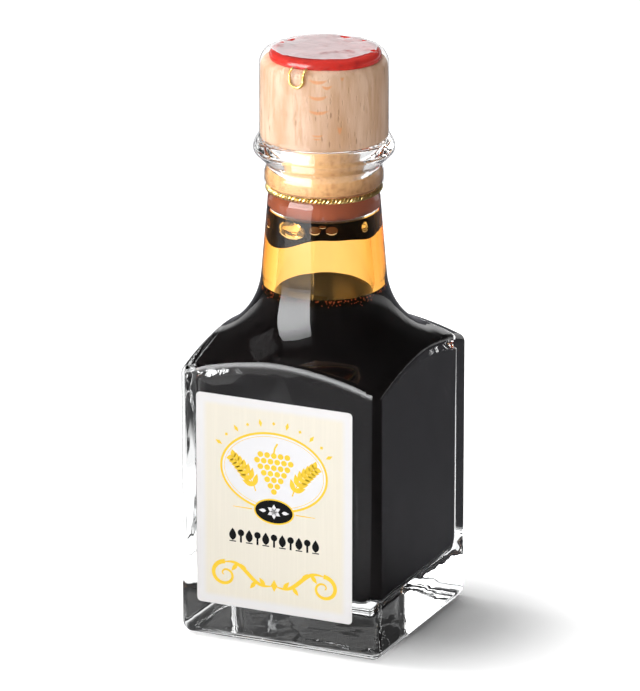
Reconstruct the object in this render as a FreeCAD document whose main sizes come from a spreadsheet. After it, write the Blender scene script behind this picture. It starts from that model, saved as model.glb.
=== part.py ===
import FreeCAD, Part
import math
import os

import Sketcher

# A square heavy-glass bottle of aged vinegar with a turned beech stopper, a red wax seal,
# a gold cord and a clear shrink film. Millimetres, +Z up, the origin at the centre of the
# base, the label on the -Y face.

SIZES = [
    # the glass
    ("body_width", 48.0, "side of the square body"),
    ("edge_round", 1.92, "rounding of the four upright edges"),
    ("heel_round", 2.5, "rounding where the sides meet the base"),
    ("arch_round", 1.92, "rounding where the sides meet the shoulder"),
    ("dome_round", 72.58, "radius of the domed shoulder"),
    ("flare_round", 17.4, "radius of the hollow sweep from the neck to the dome"),
    ("flare_top_radius", 13.8, "neck radius where the sweep starts"),
    ("flare_top", 79.9, "height where the sweep starts"),
    ("neck_high_radius", 12.34, "neck radius at neck_high"),
    ("neck_high", 97.54, "height at the top of the tapered neck"),
    ("cord_seat_radius", 11.75, "radius of the seat under the gold cord"),
    ("cord_seat_low", 98.78, "lower end of the cord seat"),
    ("cord_seat_high", 100.42, "upper end of the cord seat"),
    ("collar_radius", 12.95, "radius of the collar above the cord"),
    ("collar_low", 100.9, "height where the collar is full width"),
    ("collar_high", 103.2, "height where the collar starts to narrow"),
    ("groove_radius", 12.2, "radius of the groove under the lip"),
    ("groove_high", 105.1, "height of the groove"),
    ("lip_radius", 15.36, "largest radius of the lip"),
    ("lip_low", 108.1, "height where the lip is widest"),
    ("lip_high", 108.9, "upper end of the widest stretch"),
    ("lip_top_radius", 14.3, "outer radius of the flat lip top"),
    ("lip_top", 110.98, "height of the lip top"),
    ("lip_soften", 0.8, "rounding of the lip's edges"),
    # its inside
    ("wall", 2.59, "thickness of the sides"),
    ("floor_depth", 12.1, "thickness of the glass base"),
    ("inner_corner", 3.36, "rounding of the upright inner corners"),
    ("inner_heel", 3.26, "rounding at the inner floor"),
    ("dome_wall", 3.0, "thickness of the domed shoulder"),
    ("bore_radius", 9.1, "radius of the mouth"),
    ("bore_low", 92.6, "lower end of the straight mouth"),
    ("throat_low_radius", 10.55, "inner radius where the inner sweep starts"),
    ("throat_low", 78.3, "height where the inner sweep starts"),
    ("fill_level", 76.32, "level of the vinegar"),
    # the stopper
    ("head_radius", 14.02, "radius of the wooden head"),
    ("head_height", 17.95, "height of the wooden head"),
    ("head_round", 1.63, "rounding of the head's top edge"),
    ("head_break", 0.38, "chamfer on the head's lower edge"),
    ("stem_clear", 0.03, "gap between the stem and the mouth"),
    ("stem_length", 17.38, "length of the stem below the head"),
    ("stem_break", 0.77, "chamfer on the stem's lower edge"),
    # the seal
    ("wax_radius", 12.43, "mean radius of the wax disc"),
    ("wax_thick", 1.82, "thickness of the wax rim"),
    ("wax_lobe", 0.43, "depth of the uneven lobes of the wax"),
    ("stamp_radius", 9.41, "radius of the stamped hollow"),
    ("stamp_depth", 0.67, "depth of the stamped hollow"),
    ("stamp_draft", 0.5, "how much narrower the stamped hollow is at its floor"),
    ("stamp_ring", 0.48, "width of the raised ring in the stamp"),
    ("stamp_ring_radius", 7.34, "outer radius of the raised ring in the stamp"),
    ("stamp_ring_height", 0.268, "height of the raised ring in the stamp"),
    ("stamp_shift", 0.67, "how far the stamp sits off the axis"),
    # the gold cord
    ("cord_thick", 1.0, "diameter of the twisted cord"),
    ("cord_height", 99.6, "height of the cord round the neck"),
    ("loop_cord", 0.67, "diameter of the cord in the small loop"),
    ("loop_half", 1.63, "half the distance between the loop's legs"),
    ("loop_reach", 12.75, "distance from the axis where the loop leaves the wax"),
    ("loop_low", 127.1, "height where the loop's legs end in its bend"),
    ("loop_bend", 1.25, "bend of the loop over the head's edge"),
    # the film
    ("film_thick", 0.12, "thickness of the shrink film"),
    ("film_radius", 14.19, "outer radius of the film over the head"),
    ("film_top", 131.14, "height of the film's flat top"),
    ("film_flat_radius", 10.75, "radius where the top starts to slope"),
    ("film_slope_radius", 13.06, "radius of the crease in the slope"),
    ("film_slope_height", 130.08, "height of the crease in the slope"),
    ("film_edge_height", 128.45, "height where the slope meets the side"),
    ("film_low", 100.56, "lower edge of the film"),
    ("film_lip_gap", 0.22, "how far the film's outside stands off the glass"),
    ("film_lip_spare", 0.1, "how much longer the film is than the lip's widest stretch"),
    ("film_head_gap", 0.6, "height over the lip where the film reaches the head"),
    ("blister_radius", 15.15, "outer radius of the film over the loop"),
    ("blister_low", 123.5, "lower end of the film's bulge over the loop"),
    ("blister_rise", 1.0, "height over which the bulge comes out"),
    ("blister_top_radius", 13.59, "radius of the bulge's upper crease"),
    ("blister_lift", 0.1, "how far the bulge lies over or under the film's top"),
    ("blister_angle", 22.0, "angle taken by the bulge, in degrees"),
    # the label
    ("label_width", 37.44, "width of the label"),
    ("label_height", 48.67, "height of the label"),
    ("label_bottom", 8.26, "height of the label's lower edge"),
    ("label_offset", -1.01, "how far the label sits off the centre line"),
    ("label_round", 0.96, "rounding of the label's corners"),
    ("label_thick", 0.12, "thickness of the label paper"),
]

WAX_LOBES = ((2, 0.7, 0.35), (3, 2.1, 0.75), (5, 4.0, 0.5), (8, 1.3, 0.3), (13, 5.2, 0.16))
WAX_OUTLINE_POINTS = 40
# how far the wax is drawn in, and at what height, both as shares of its thickness
WAX_LAYERS = ((0.18, 0.0), (0.0, 0.2), (0.08, 0.42), (0.45, 0.75), (1.1, 1.0))

# how far cutting shapes run past what they cut, in millimetres
OVERRUN = 1.0
# half the side of the shapes that turn the block down, as a share of the body's width
CLEAR_SHARE = 0.8
# the heights between which the edges of the domed shoulder lie, as shares of the lip's height
ARCH_SPAN = (0.5, 0.68)
# edges further from the axis than this share of the body's width lie on its sides
SIDE_SHARE = 0.42
# how much narrower the inside of the film's bulge is, in degrees
BULGE_TRIM = 1.0

doc = FreeCAD.newDocument("vinegar_bottle")
sheet = doc.addObject("Spreadsheet::Sheet", "sizes")


def fill_sheet():
    """Write every driving size into the sheet under its own alias."""
    for row, (alias, value, meaning) in enumerate(SIZES, start=1):
        sheet.set(f"A{row}", meaning)
        sheet.set(f"B{row}", str(value))
        sheet.setAlias(f"B{row}", alias)
    doc.recompute()


def size(alias):
    """A driving size as a number."""
    return float(getattr(sheet, alias))


def new_body(label):
    """An empty body with its own label and a placement at the origin."""
    body = doc.addObject("PartDesign::Body", label)
    body.Label = label
    body.Placement = FreeCAD.Placement()
    return body


def new_sketch(body, name, role):
    """A sketch on one of the body's own origin planes."""
    plane = next(item for item in body.Origin.OriginFeatures if item.Role == role)
    sketch = body.newObject("Sketcher::SketchObject", name)
    sketch.AttachmentSupport = [(plane, "")]
    sketch.MapMode = "FlatFace"
    return sketch


def value_of(sketch, expression):
    """What an expression over the sheet comes to."""
    result = sketch.evalExpression(expression)
    return float(getattr(result, "Value", result))


def number_of(sketch, entry):
    """A corner's coordinate, given as an expression or as a number."""
    return value_of(sketch, entry) if isinstance(entry, str) else entry


def bind(sketch, constraint, expression):
    """Add a sized constraint and tie it to the sheet."""
    index = sketch.addConstraint(constraint)
    sketch.setExpression(f"Constraints[{index}]", expression)


def arc_between(start, end, radius, turn):
    """An arc from start to end; turn is 1 counter-clockwise and -1 clockwise."""
    chord = end - start
    half = chord.Length / 2
    across = FreeCAD.Vector(-chord.y, chord.x, 0).normalize()
    centre = start + chord * 0.5 + across * (turn * math.sqrt(radius ** 2 - half ** 2))
    circle = Part.Circle(centre, FreeCAD.Vector(0, 0, 1), radius)
    first, last = (start, end) if turn > 0 else (end, start)
    angles = [math.atan2(p.y - centre.y, p.x - centre.x) for p in (first, last)]
    return Part.ArcOfCircle(circle, angles[0], angles[1])


def closed_outline(sketch, corners, arcs=None, smooth=()):
    """A closed outline whose corners are pairs of expressions.

    A corner that follows from tangency is a pair of numbers to start from instead.
    arcs gives the sides that are arcs: side number -> (radius expression, turn).
    smooth lists the sides that run on into the next one without a corner.
    """
    arcs = arcs or {}
    points = [FreeCAD.Vector(number_of(sketch, across), number_of(sketch, up), 0) for across, up in corners]
    ends = []
    for side, start in enumerate(points):
        end = points[(side + 1) % len(points)]
        if side in arcs:
            radius, turn = arcs[side]
            geometry = sketch.addGeometry(arc_between(start, end, value_of(sketch, radius), turn))
            ends.append((geometry, 1, 2) if turn > 0 else (geometry, 2, 1))
        else:
            geometry = sketch.addGeometry(Part.LineSegment(start, end))
            ends.append((geometry, 1, 2))
    for side, (geometry, _, last) in enumerate(ends):
        follower, follower_first, _ = ends[(side + 1) % len(ends)]
        kind = "Tangent" if side in smooth else "Coincident"
        sketch.addConstraint(Sketcher.Constraint(kind, geometry, last, follower, follower_first))
    for side, (radius, _) in arcs.items():
        bind(sketch, Sketcher.Constraint("Radius", ends[side][0], value_of(sketch, radius)), radius)
    for (geometry, first, _), point, (across, up) in zip(ends, points, corners):
        for kind, where, expression, axis in (("DistanceX", point.x, across, -2), ("DistanceY", point.y, up, -1)):
            if expression == "0":
                sketch.addConstraint(Sketcher.Constraint("PointOnObject", geometry, first, axis))
            elif isinstance(expression, str):
                bind(sketch, Sketcher.Constraint(kind, -1, 1, geometry, first, where), expression)
    return [geometry for geometry, _, _ in ends]


def centred_rectangle(sketch, width, height):
    """A rectangle about the sketch's origin, its sides given as expressions."""
    half_x = value_of(sketch, width) / 2
    half_y = value_of(sketch, height) / 2
    signs = ((-1, -1), (1, -1), (1, 1), (-1, 1))
    corners = [FreeCAD.Vector(x * half_x, y * half_y, 0) for x, y in signs]
    for side, start in enumerate(corners):
        sketch.addGeometry(Part.LineSegment(start, corners[(side + 1) % 4]))
    for side in range(4):
        sketch.addConstraint(Sketcher.Constraint("Coincident", side, 2, (side + 1) % 4, 1))
        kind = "Vertical" if side % 2 else "Horizontal"
        sketch.addConstraint(Sketcher.Constraint(kind, side))
    sketch.addConstraint(Sketcher.Constraint("Symmetric", 0, 1, 2, 1, -1, 1))
    bind(sketch, Sketcher.Constraint("DistanceX", 0, 1, 0, 2, 2 * half_x), width)
    bind(sketch, Sketcher.Constraint("DistanceY", 1, 1, 1, 2, 2 * half_y), height)


def circle_sketch(body, name, radius):
    """A circle about the axis on the body's ground plane."""
    sketch = new_sketch(body, name, "XY_Plane")
    number = value_of(sketch, radius)
    sketch.addGeometry(Part.Circle(FreeCAD.Vector(), FreeCAD.Vector(0, 0, 1), number))
    sketch.addConstraint(Sketcher.Constraint("Coincident", 0, 3, -1, 1))
    bind(sketch, Sketcher.Constraint("Radius", 0, number), radius)
    return sketch


def pad(body, name, sketch, length):
    """Raise a sketch by a length given as an expression."""
    feature = body.newObject("PartDesign::Pad", name)
    feature.Profile = sketch
    feature.setExpression("Length", length)
    doc.recompute()
    return feature


def turned(body, kind, name, sketch, angle=360.0):
    """Turn a profile about the upright axis, adding (Revolution) or cutting (Groove)."""
    before = body.Shape.Volume if kind == "Groove" else 0.0
    feature = body.newObject(f"PartDesign::{kind}", name)
    feature.Profile = sketch
    feature.ReferenceAxis = (sketch, ["V_Axis"])
    feature.Angle = angle
    doc.recompute()
    if kind == "Groove" and not feature.Shape.Volume < before:
        raise RuntimeError(f"{name} cuts nothing")
    return feature


def edges_where(feature, test):
    """Names of the feature's edges that pass a test."""
    return [f"Edge{number}" for number, edge in enumerate(feature.Shape.Edges, start=1) if test(edge)]


def soften(body, kind, name, base, test, amount):
    """Fillet or chamfer the edges that pass a test by an amount given as an expression."""
    names = edges_where(base, test)
    if not names:
        raise RuntimeError(f"{name} finds no edge")
    feature = body.newObject(f"PartDesign::{kind}", name)
    feature.Base = (base, names)
    feature.setExpression("Radius" if kind == "Fillet" else "Size", amount)
    doc.recompute()
    return feature


def ring_at(radius, height, slack=0.05):
    """A test for the round edge of a given radius and height about the axis."""
    def test(edge):
        box = edge.BoundBox
        return (abs(box.ZMin - height) < slack and abs(box.ZMax - height) < slack
                and abs(box.XMax - radius) < slack and abs(box.XMin + radius) < slack)
    return test


def upright(edge):
    """A test for straight vertical edges."""
    box = edge.BoundBox
    return box.XLength < 0.01 and box.YLength < 0.01 and box.ZLength > 1.0


def side_edge_between(low, high):
    """A test for edges that lie wholly between two heights and run along a side."""
    def test(edge):
        box = edge.BoundBox
        reach = max(abs(box.XMin), abs(box.XMax), abs(box.YMin), abs(box.YMax))
        flat = min(box.XLength, box.YLength) < 0.01
        return box.ZMin > low and box.ZMax < high and flat and reach > SIDE_SHARE * size("body_width")
    return test


def sweep_points(top, foot, sweep, dome, reach):
    """Where a hollow sweep, tangent to the line from top to foot, meets a dome centred on the axis.

    Returns the point where they meet and the dome's point at a reach from the axis.
    """
    along = (foot - top).normalize()
    outward = FreeCAD.Vector(-along.y, along.x, 0)
    centre = foot + outward * sweep
    dome_centre = FreeCAD.Vector(0, centre.y - math.sqrt((sweep + dome) ** 2 - centre.x ** 2), 0)
    meeting = dome_centre + (centre - dome_centre).normalize() * dome
    return meeting, FreeCAD.Vector(reach, dome_centre.y + math.sqrt(dome ** 2 - reach ** 2), 0)


def shoulder_groove(body, name, neck, sweep, dome):
    """Turn a body down to a neck, a hollow sweep and a dome.

    neck is the list of corners down the neck, as pairs of aliases or expressions, the last one
    where the sweep starts; sweep and dome are the expressions for their radii.
    """
    clear = f"(sizes.body_width * {CLEAR_SHARE})"
    above = f"sizes.lip_top + {OVERRUN}"
    waste = new_sketch(body, f"{name}_profile", "XZ_Plane")
    line = [FreeCAD.Vector(value_of(waste, across), value_of(waste, up), 0) for across, up in neck[-2:]]
    radii = [value_of(waste, radius) for radius in (sweep, dome, clear)]
    meeting, outer = sweep_points(line[0], line[1], *radii)
    corners = [(neck[0][0], above), *neck, (meeting.x, meeting.y), (clear, outer.y), (clear, above)]
    last = len(neck)
    arcs = {last: (sweep, 1), last + 1: (dome, -1)}
    sides = closed_outline(waste, corners, arcs, smooth=(last - 1, last))
    waste.addConstraint(Sketcher.Constraint("PointOnObject", sides[last + 1], 3, -2))
    return turned(body, "Groove", f"{name}_turning", waste)


def make_glass_block():
    """The outside of the glass: a square block turned down to a dome, a neck and a lip."""
    body = new_body("glass_block")
    plan = new_sketch(body, "block_plan", "XY_Plane")
    centred_rectangle(plan, "sizes.body_width", "sizes.body_width")
    pad(body, "block", plan, "sizes.lip_top")
    neck = shoulder_groove(body, "outside", [
        ("sizes.lip_top_radius", "sizes.lip_top"),
        ("sizes.lip_radius", "sizes.lip_high"),
        ("sizes.lip_radius", "sizes.lip_low"),
        ("sizes.groove_radius", "sizes.groove_high"),
        ("sizes.collar_radius", "sizes.collar_high"),
        ("sizes.collar_radius", "sizes.collar_low"),
        ("sizes.cord_seat_radius", "sizes.cord_seat_high"),
        ("sizes.cord_seat_radius", "sizes.cord_seat_low"),
        ("sizes.neck_high_radius", "sizes.neck_high"),
        ("sizes.flare_top_radius", "sizes.flare_top"),
    ], "sizes.flare_round", "sizes.dome_round")

    lip_rings = [
        ("lip_top_radius", "lip_top"),
        ("lip_radius", "lip_high"),
        ("lip_radius", "lip_low"),
        ("groove_radius", "groove_high"),
        ("collar_radius", "collar_high"),
        ("collar_radius", "collar_low"),
    ]
    tests = [ring_at(size(radius), size(height)) for radius, height in lip_rings]
    lip = soften(body, "Fillet", "lip_edges", neck,
                 lambda edge: any(test(edge) for test in tests), "sizes.lip_soften")
    heel = soften(body, "Fillet", "heel", lip, side_edge_between(-OVERRUN, OVERRUN), "sizes.heel_round")
    uprights = soften(body, "Fillet", "upright_edges", heel, upright, "sizes.edge_round")
    low, high = (share * size("lip_top") for share in ARCH_SPAN)
    soften(body, "Fillet", "arch_edges", uprights, side_edge_between(low, high), "sizes.arch_round")
    return body


def make_cavity():
    """The hollow of the bottle, as a solid."""
    body = new_body("cavity")
    plan = new_sketch(body, "cavity_plan", "XY_Plane")
    plan.AttachmentOffset = FreeCAD.Placement(FreeCAD.Vector(0, 0, size("floor_depth")), FreeCAD.Rotation())
    plan.setExpression("AttachmentOffset.Base.z", "sizes.floor_depth")
    width = "sizes.body_width - 2 * sizes.wall"
    centred_rectangle(plan, width, width)
    pad(body, "hollow", plan, "sizes.lip_top - sizes.floor_depth")
    throat = shoulder_groove(body, "inside", [
        ("sizes.bore_radius", "sizes.bore_low"),
        ("sizes.throat_low_radius", "sizes.throat_low"),
    ], "(sizes.flare_round + sizes.dome_wall)", "(sizes.dome_round - sizes.dome_wall)")

    corner = soften(body, "Fillet", "inner_corners", throat, upright, "sizes.inner_corner")
    floor = side_edge_between(size("floor_depth") - OVERRUN, size("floor_depth") + OVERRUN)
    soften(body, "Fillet", "inner_heel", corner, floor, "sizes.inner_heel")
    return body


def make_bottle(block, cavity):
    """The glass: its outside with the hollow cut out of it."""
    bottle = doc.addObject("Part::Cut", "bottle")
    bottle.Label = "bottle"
    bottle.Base = block
    bottle.Tool = cavity
    bottle.Placement = FreeCAD.Placement()
    return bottle


def make_vinegar(cavity):
    """The vinegar: the hollow up to the fill level."""
    level = doc.addObject("Part::Box", "level_block")
    level.setExpression("Length", "sizes.body_width")
    level.setExpression("Width", "sizes.body_width")
    level.setExpression("Height", "sizes.fill_level")
    level.setExpression("Placement.Base.x", "-sizes.body_width / 2")
    level.setExpression("Placement.Base.y", "-sizes.body_width / 2")
    vinegar = doc.addObject("Part::Common", "vinegar")
    vinegar.Label = "vinegar"
    vinegar.Base = cavity
    vinegar.Tool = level
    vinegar.Placement = FreeCAD.Placement()
    return vinegar


def make_stopper_head():
    """The turned wooden head, standing on the lip."""
    body = new_body("stopper_head")
    body.setExpression("Placement.Base.z", "sizes.lip_top")
    disc = pad(body, "head_blank", circle_sketch(body, "head_plan", "sizes.head_radius"), "sizes.head_height")
    top = ring_at(size("head_radius"), size("head_height"))
    rounded = soften(body, "Fillet", "head_top_edge", disc, top, "sizes.head_round")
    low = ring_at(size("head_radius"), 0.0)
    soften(body, "Chamfer", "head_low_edge", rounded, low, "sizes.head_break")
    return body


def make_stopper_stem():
    """The stem that closes the mouth, from its lower end up to the head."""
    body = new_body("stopper_stem")
    body.setExpression("Placement.Base.z", "sizes.lip_top - sizes.stem_length")
    radius = "sizes.bore_radius - sizes.stem_clear"
    shank = pad(body, "shank", circle_sketch(body, "shank_plan", radius), "sizes.stem_length")
    low = ring_at(size("bore_radius") - size("stem_clear"), 0.0)
    soften(body, "Chamfer", "shank_low_edge", shank, low, "sizes.stem_break")
    return body


def wax_reach(angle):
    """Reach of the wax at an angle: a disc with uneven lobes where it ran out."""
    lobes = sum(depth * math.sin(count * angle + phase) for count, phase, depth in WAX_LOBES)
    return size("wax_radius") + size("wax_lobe") * lobes


def wax_outline(inset, height):
    """The closed smooth outline of the wax at a height, drawn in by an inset."""
    points = []
    for step in range(WAX_OUTLINE_POINTS):
        angle = 2 * math.pi * step / WAX_OUTLINE_POINTS
        reach = wax_reach(angle) - inset
        points.append(FreeCAD.Vector(reach * math.cos(angle), reach * math.sin(angle), height))
    curve = Part.BSplineCurve()
    curve.interpolate(points, PeriodicFlag=True)
    return Part.Wire([curve.toShape()])


def make_wax_seal():
    """The wax: an uneven rounded disc with a stamped hollow, a raised ring in it."""
    thick = size("wax_thick")
    outlines = [wax_outline(inset * thick, share * thick) for inset, share in WAX_LAYERS]
    disc = Part.makeLoft(outlines, True)
    up = FreeCAD.Vector(0, 0, 1)
    shift = size("stamp_shift")
    hollow_floor = FreeCAD.Vector(shift, shift / 2, thick - size("stamp_depth"))
    floor_radius = size("stamp_radius") - size("stamp_draft")
    hollow = Part.makeCone(floor_radius, size("stamp_radius"), size("stamp_depth"), hollow_floor, up)
    ring_outer = size("stamp_ring_radius")
    ring_height = size("stamp_ring_height")
    ring = Part.makeCylinder(ring_outer, ring_height, hollow_floor, up)
    ring = ring.cut(Part.makeCylinder(ring_outer - size("stamp_ring"), ring_height, hollow_floor, up))
    wax = doc.addObject("Part::Feature", "wax_seal")
    wax.Label = "wax_seal"
    wax.Shape = disc.cut(hollow).fuse(ring)
    wax.Placement = FreeCAD.Placement(FreeCAD.Vector(0, 0, size("lip_top") + size("head_height")),
                                      FreeCAD.Rotation())
    return wax


def make_gold_cord():
    """The ring of gold cord in its seat round the neck."""
    cord = doc.addObject("Part::Torus", "gold_cord")
    cord.Label = "gold_cord"
    cord.setExpression("Radius1", "sizes.cord_seat_radius + sizes.cord_thick / 2")
    cord.setExpression("Radius2", "sizes.cord_thick / 2")
    cord.setExpression("Placement.Base.z", "sizes.cord_height")
    return cord


def make_cord_loop():
    """The small loop of gold cord that comes from under the wax and hangs over the head's edge."""
    side = -(size("head_radius") + size("loop_cord") / 2)
    top = size("lip_top") + size("head_height") + size("loop_cord") / 2
    half = size("loop_half")
    bend = size("loop_bend")
    low = size("loop_low")
    start = FreeCAD.Vector(-half, -size("loop_reach"), top)
    over = FreeCAD.Vector(-half, side + bend, top)
    over_mid = FreeCAD.Vector(-half, side + bend - bend * math.sin(math.pi / 4),
                              top - bend + bend * math.cos(math.pi / 4))
    down = FreeCAD.Vector(-half, side, top - bend)
    foot = FreeCAD.Vector(-half, side, low)
    foot_mid = FreeCAD.Vector(0, side, low - half)

    def across(point):
        """The same point on the other leg."""
        return FreeCAD.Vector(-point.x, point.y, point.z)

    edges = [
        Part.LineSegment(start, over),
        Part.Arc(over, over_mid, down),
        Part.LineSegment(down, foot),
        Part.Arc(foot, foot_mid, across(foot)),
        Part.LineSegment(across(foot), across(down)),
        Part.Arc(across(down), across(over_mid), across(over)),
        Part.LineSegment(across(over), across(start)),
    ]
    path = Part.Wire([edge.toShape() for edge in edges])
    section = Part.Wire([Part.Circle(start, FreeCAD.Vector(0, 1, 0), size("loop_cord") / 2).toShape()])
    loop = doc.addObject("Part::Feature", "cord_loop")
    loop.Label = "cord_loop"
    loop.Shape = path.makePipeShell([section], True, True)
    loop.Placement = FreeCAD.Placement()
    return loop


def make_film_envelope(label, inset):
    """A solid with the form of the film, drawn in by an inset given as an expression."""
    body = new_body(label)
    low = "sizes.film_low" if inset == "0" else f"sizes.film_low - {OVERRUN}"
    stand = f"(sizes.film_lip_gap - {inset})"
    corners = [
        ("0", low),
        (f"sizes.collar_radius + {stand}", low),
        (f"sizes.collar_radius + {stand}", "sizes.collar_high"),
        (f"sizes.groove_radius + {stand} * 1.5", "sizes.groove_high"),
        (f"sizes.lip_radius + {stand}", "sizes.lip_low - sizes.film_lip_spare"),
        (f"sizes.lip_radius + {stand}", "sizes.lip_high + sizes.film_lip_spare"),
        (f"sizes.film_radius - {inset}", "sizes.lip_top + sizes.film_head_gap"),
        (f"sizes.film_radius - {inset}", "sizes.film_edge_height"),
        (f"sizes.film_slope_radius - {inset}", f"sizes.film_slope_height - {inset} / 2"),
        ("sizes.film_flat_radius", f"sizes.film_top - {inset}"),
        ("0", f"sizes.film_top - {inset}"),
    ]
    profile = new_sketch(body, f"{label}_profile", "XZ_Plane")
    closed_outline(profile, corners)
    turned(body, "Revolution", f"{label}_turning", profile)

    bulge = [
        ("sizes.film_flat_radius", f"sizes.blister_low + {inset}"),
        (f"sizes.film_radius - {inset}", f"sizes.blister_low + {inset}"),
        (f"sizes.blister_radius - {inset}", "sizes.blister_low + sizes.blister_rise"),
        (f"sizes.blister_radius - {inset}", "sizes.film_edge_height"),
        (f"sizes.blister_top_radius - {inset}", f"sizes.film_slope_height + sizes.blister_lift - {inset}"),
        ("sizes.film_flat_radius", f"sizes.film_top - sizes.blister_lift - {inset}"),
    ]
    blister = new_sketch(body, f"{label}_bulge", "YZ_Plane")
    blister.MapReversed = True
    closed_outline(blister, bulge)
    sector = turned(body, "Revolution", f"{label}_bulge_turning", blister)
    trim = 0.0 if inset == "0" else BULGE_TRIM
    sector.Angle = size("blister_angle") - trim
    sector.Midplane = True
    doc.recompute()
    return body


def make_film_sleeve():
    """The shrink film over the stopper, the seal and the lip."""
    film = doc.addObject("Part::Cut", "film_sleeve")
    film.Label = "film_sleeve"
    film.Base = make_film_envelope("film_outside", "0")
    film.Tool = make_film_envelope("film_inside", "sizes.film_thick")
    film.Placement = FreeCAD.Placement()
    return film


def make_label():
    """The paper label on the -Y face."""
    body = new_body("label")
    body.setExpression("Placement.Base.x", "sizes.label_offset")
    body.setExpression("Placement.Base.y", "-sizes.body_width / 2")
    body.setExpression("Placement.Base.z", "sizes.label_bottom + sizes.label_height / 2")
    outline = new_sketch(body, "label_outline", "XZ_Plane")
    centred_rectangle(outline, "sizes.label_width", "sizes.label_height")
    sheet_of_paper = pad(body, "label_paper", outline, "sizes.label_thick")

    def corner(edge):
        """A test for the four short edges through the paper."""
        return edge.BoundBox.YLength > 0.05 and edge.Length < 1.0

    soften(body, "Fillet", "label_corners", sheet_of_paper, corner, "sizes.label_round")
    return body


def check(pieces):
    """Stop if any object failed or any piece is empty or broken."""
    for item in doc.Objects:
        if "Invalid" in item.State or "Error" in item.State:
            raise RuntimeError(f"{item.Name} failed: {item.State}")
    for piece in pieces:
        if piece.Shape.isNull() or not piece.Shape.isValid() or len(piece.Shape.Solids) != 1:
            raise RuntimeError(f"{piece.Label} isn't one sound solid")


def export(pieces):
    """Write each piece to its own file."""
    os.makedirs("parts", exist_ok=True)
    for piece in pieces:
        piece.Shape.exportStep(f"parts/{piece.Label}.step")
        box = piece.Shape.BoundBox
        print(f"{piece.Label}: {piece.Shape.Volume / 1000:.3f} ml, "
              f"x {box.XMin:.2f}..{box.XMax:.2f}, y {box.YMin:.2f}..{box.YMax:.2f}, "
              f"z {box.ZMin:.2f}..{box.ZMax:.2f}")


fill_sheet()
cavity_body = make_cavity()
all_pieces = [
    make_bottle(make_glass_block(), cavity_body),
    make_vinegar(cavity_body),
    make_stopper_head(),
    make_stopper_stem(),
    make_wax_seal(),
    make_cord_loop(),
    make_gold_cord(),
    make_film_sleeve(),
    make_label(),
]
doc.recompute()
check(all_pieces)
export(all_pieces)
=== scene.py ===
import logging
import math
import random
from dataclasses import dataclass, field
from enum import Enum
from typing import Callable, Iterable, Optional, Sequence

import bmesh
import bpy
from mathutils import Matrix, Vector, noise


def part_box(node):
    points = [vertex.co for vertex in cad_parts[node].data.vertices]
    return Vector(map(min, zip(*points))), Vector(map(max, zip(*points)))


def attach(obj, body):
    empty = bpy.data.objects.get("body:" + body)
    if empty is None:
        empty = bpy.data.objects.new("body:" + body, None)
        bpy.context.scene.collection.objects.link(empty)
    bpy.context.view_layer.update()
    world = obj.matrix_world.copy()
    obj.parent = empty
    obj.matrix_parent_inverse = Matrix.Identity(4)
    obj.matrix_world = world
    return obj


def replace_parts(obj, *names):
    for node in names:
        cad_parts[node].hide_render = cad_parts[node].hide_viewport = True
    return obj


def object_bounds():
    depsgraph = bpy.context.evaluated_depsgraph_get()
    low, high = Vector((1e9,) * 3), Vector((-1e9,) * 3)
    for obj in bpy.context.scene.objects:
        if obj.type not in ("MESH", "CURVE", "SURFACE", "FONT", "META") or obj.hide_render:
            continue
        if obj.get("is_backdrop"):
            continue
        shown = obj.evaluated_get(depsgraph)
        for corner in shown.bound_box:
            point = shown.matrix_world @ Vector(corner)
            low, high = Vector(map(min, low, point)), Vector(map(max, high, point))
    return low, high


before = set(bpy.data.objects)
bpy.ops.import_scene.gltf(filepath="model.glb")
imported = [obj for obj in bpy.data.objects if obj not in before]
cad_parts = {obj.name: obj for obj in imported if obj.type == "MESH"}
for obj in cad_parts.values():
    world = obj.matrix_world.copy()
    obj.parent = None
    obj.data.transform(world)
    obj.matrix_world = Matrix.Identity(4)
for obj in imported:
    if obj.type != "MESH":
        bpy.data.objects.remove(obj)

LOG = logging.getLogger("vinegar_bottle")
MM = 0.001
BODY = "root"
# the direction, turned from +X, that the bottle is mostly seen from
FRONT_TURN = math.radians(-65.4)
# the longest share of a side that the rounding of a corner takes up
CORNER_SHARE = 0.45
# the radius at which a turned piece is closed over its axis, in millimetres
AXIS_GAP = 0.02

Point = Sequence[float]
Colour = tuple[float, float, float]
Socket = bpy.types.NodeSocket


class Slot(Enum):
    """The finishes of the part, by the names in its record."""

    GLASS = "clear_glass"
    VINEGAR = "vinegar"
    BEECH = "beech"
    CORK = "cork"
    WAX = "red_wax"
    GOLD = "gold_cord"
    FILM = "clear_film"
    PAPER = "label_paper"


class Math(Enum):
    """The sums that a finish is worked out with."""

    ADD = "ADD"
    SUBTRACT = "SUBTRACT"
    MULTIPLY = "MULTIPLY"
    DIVIDE = "DIVIDE"
    MAXIMUM = "MAXIMUM"
    ABSOLUTE = "ABSOLUTE"
    ANGLE = "ARCTAN2"
    POWER = "POWER"


# ---------------------------------------------------------------- node and mesh helpers


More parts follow.
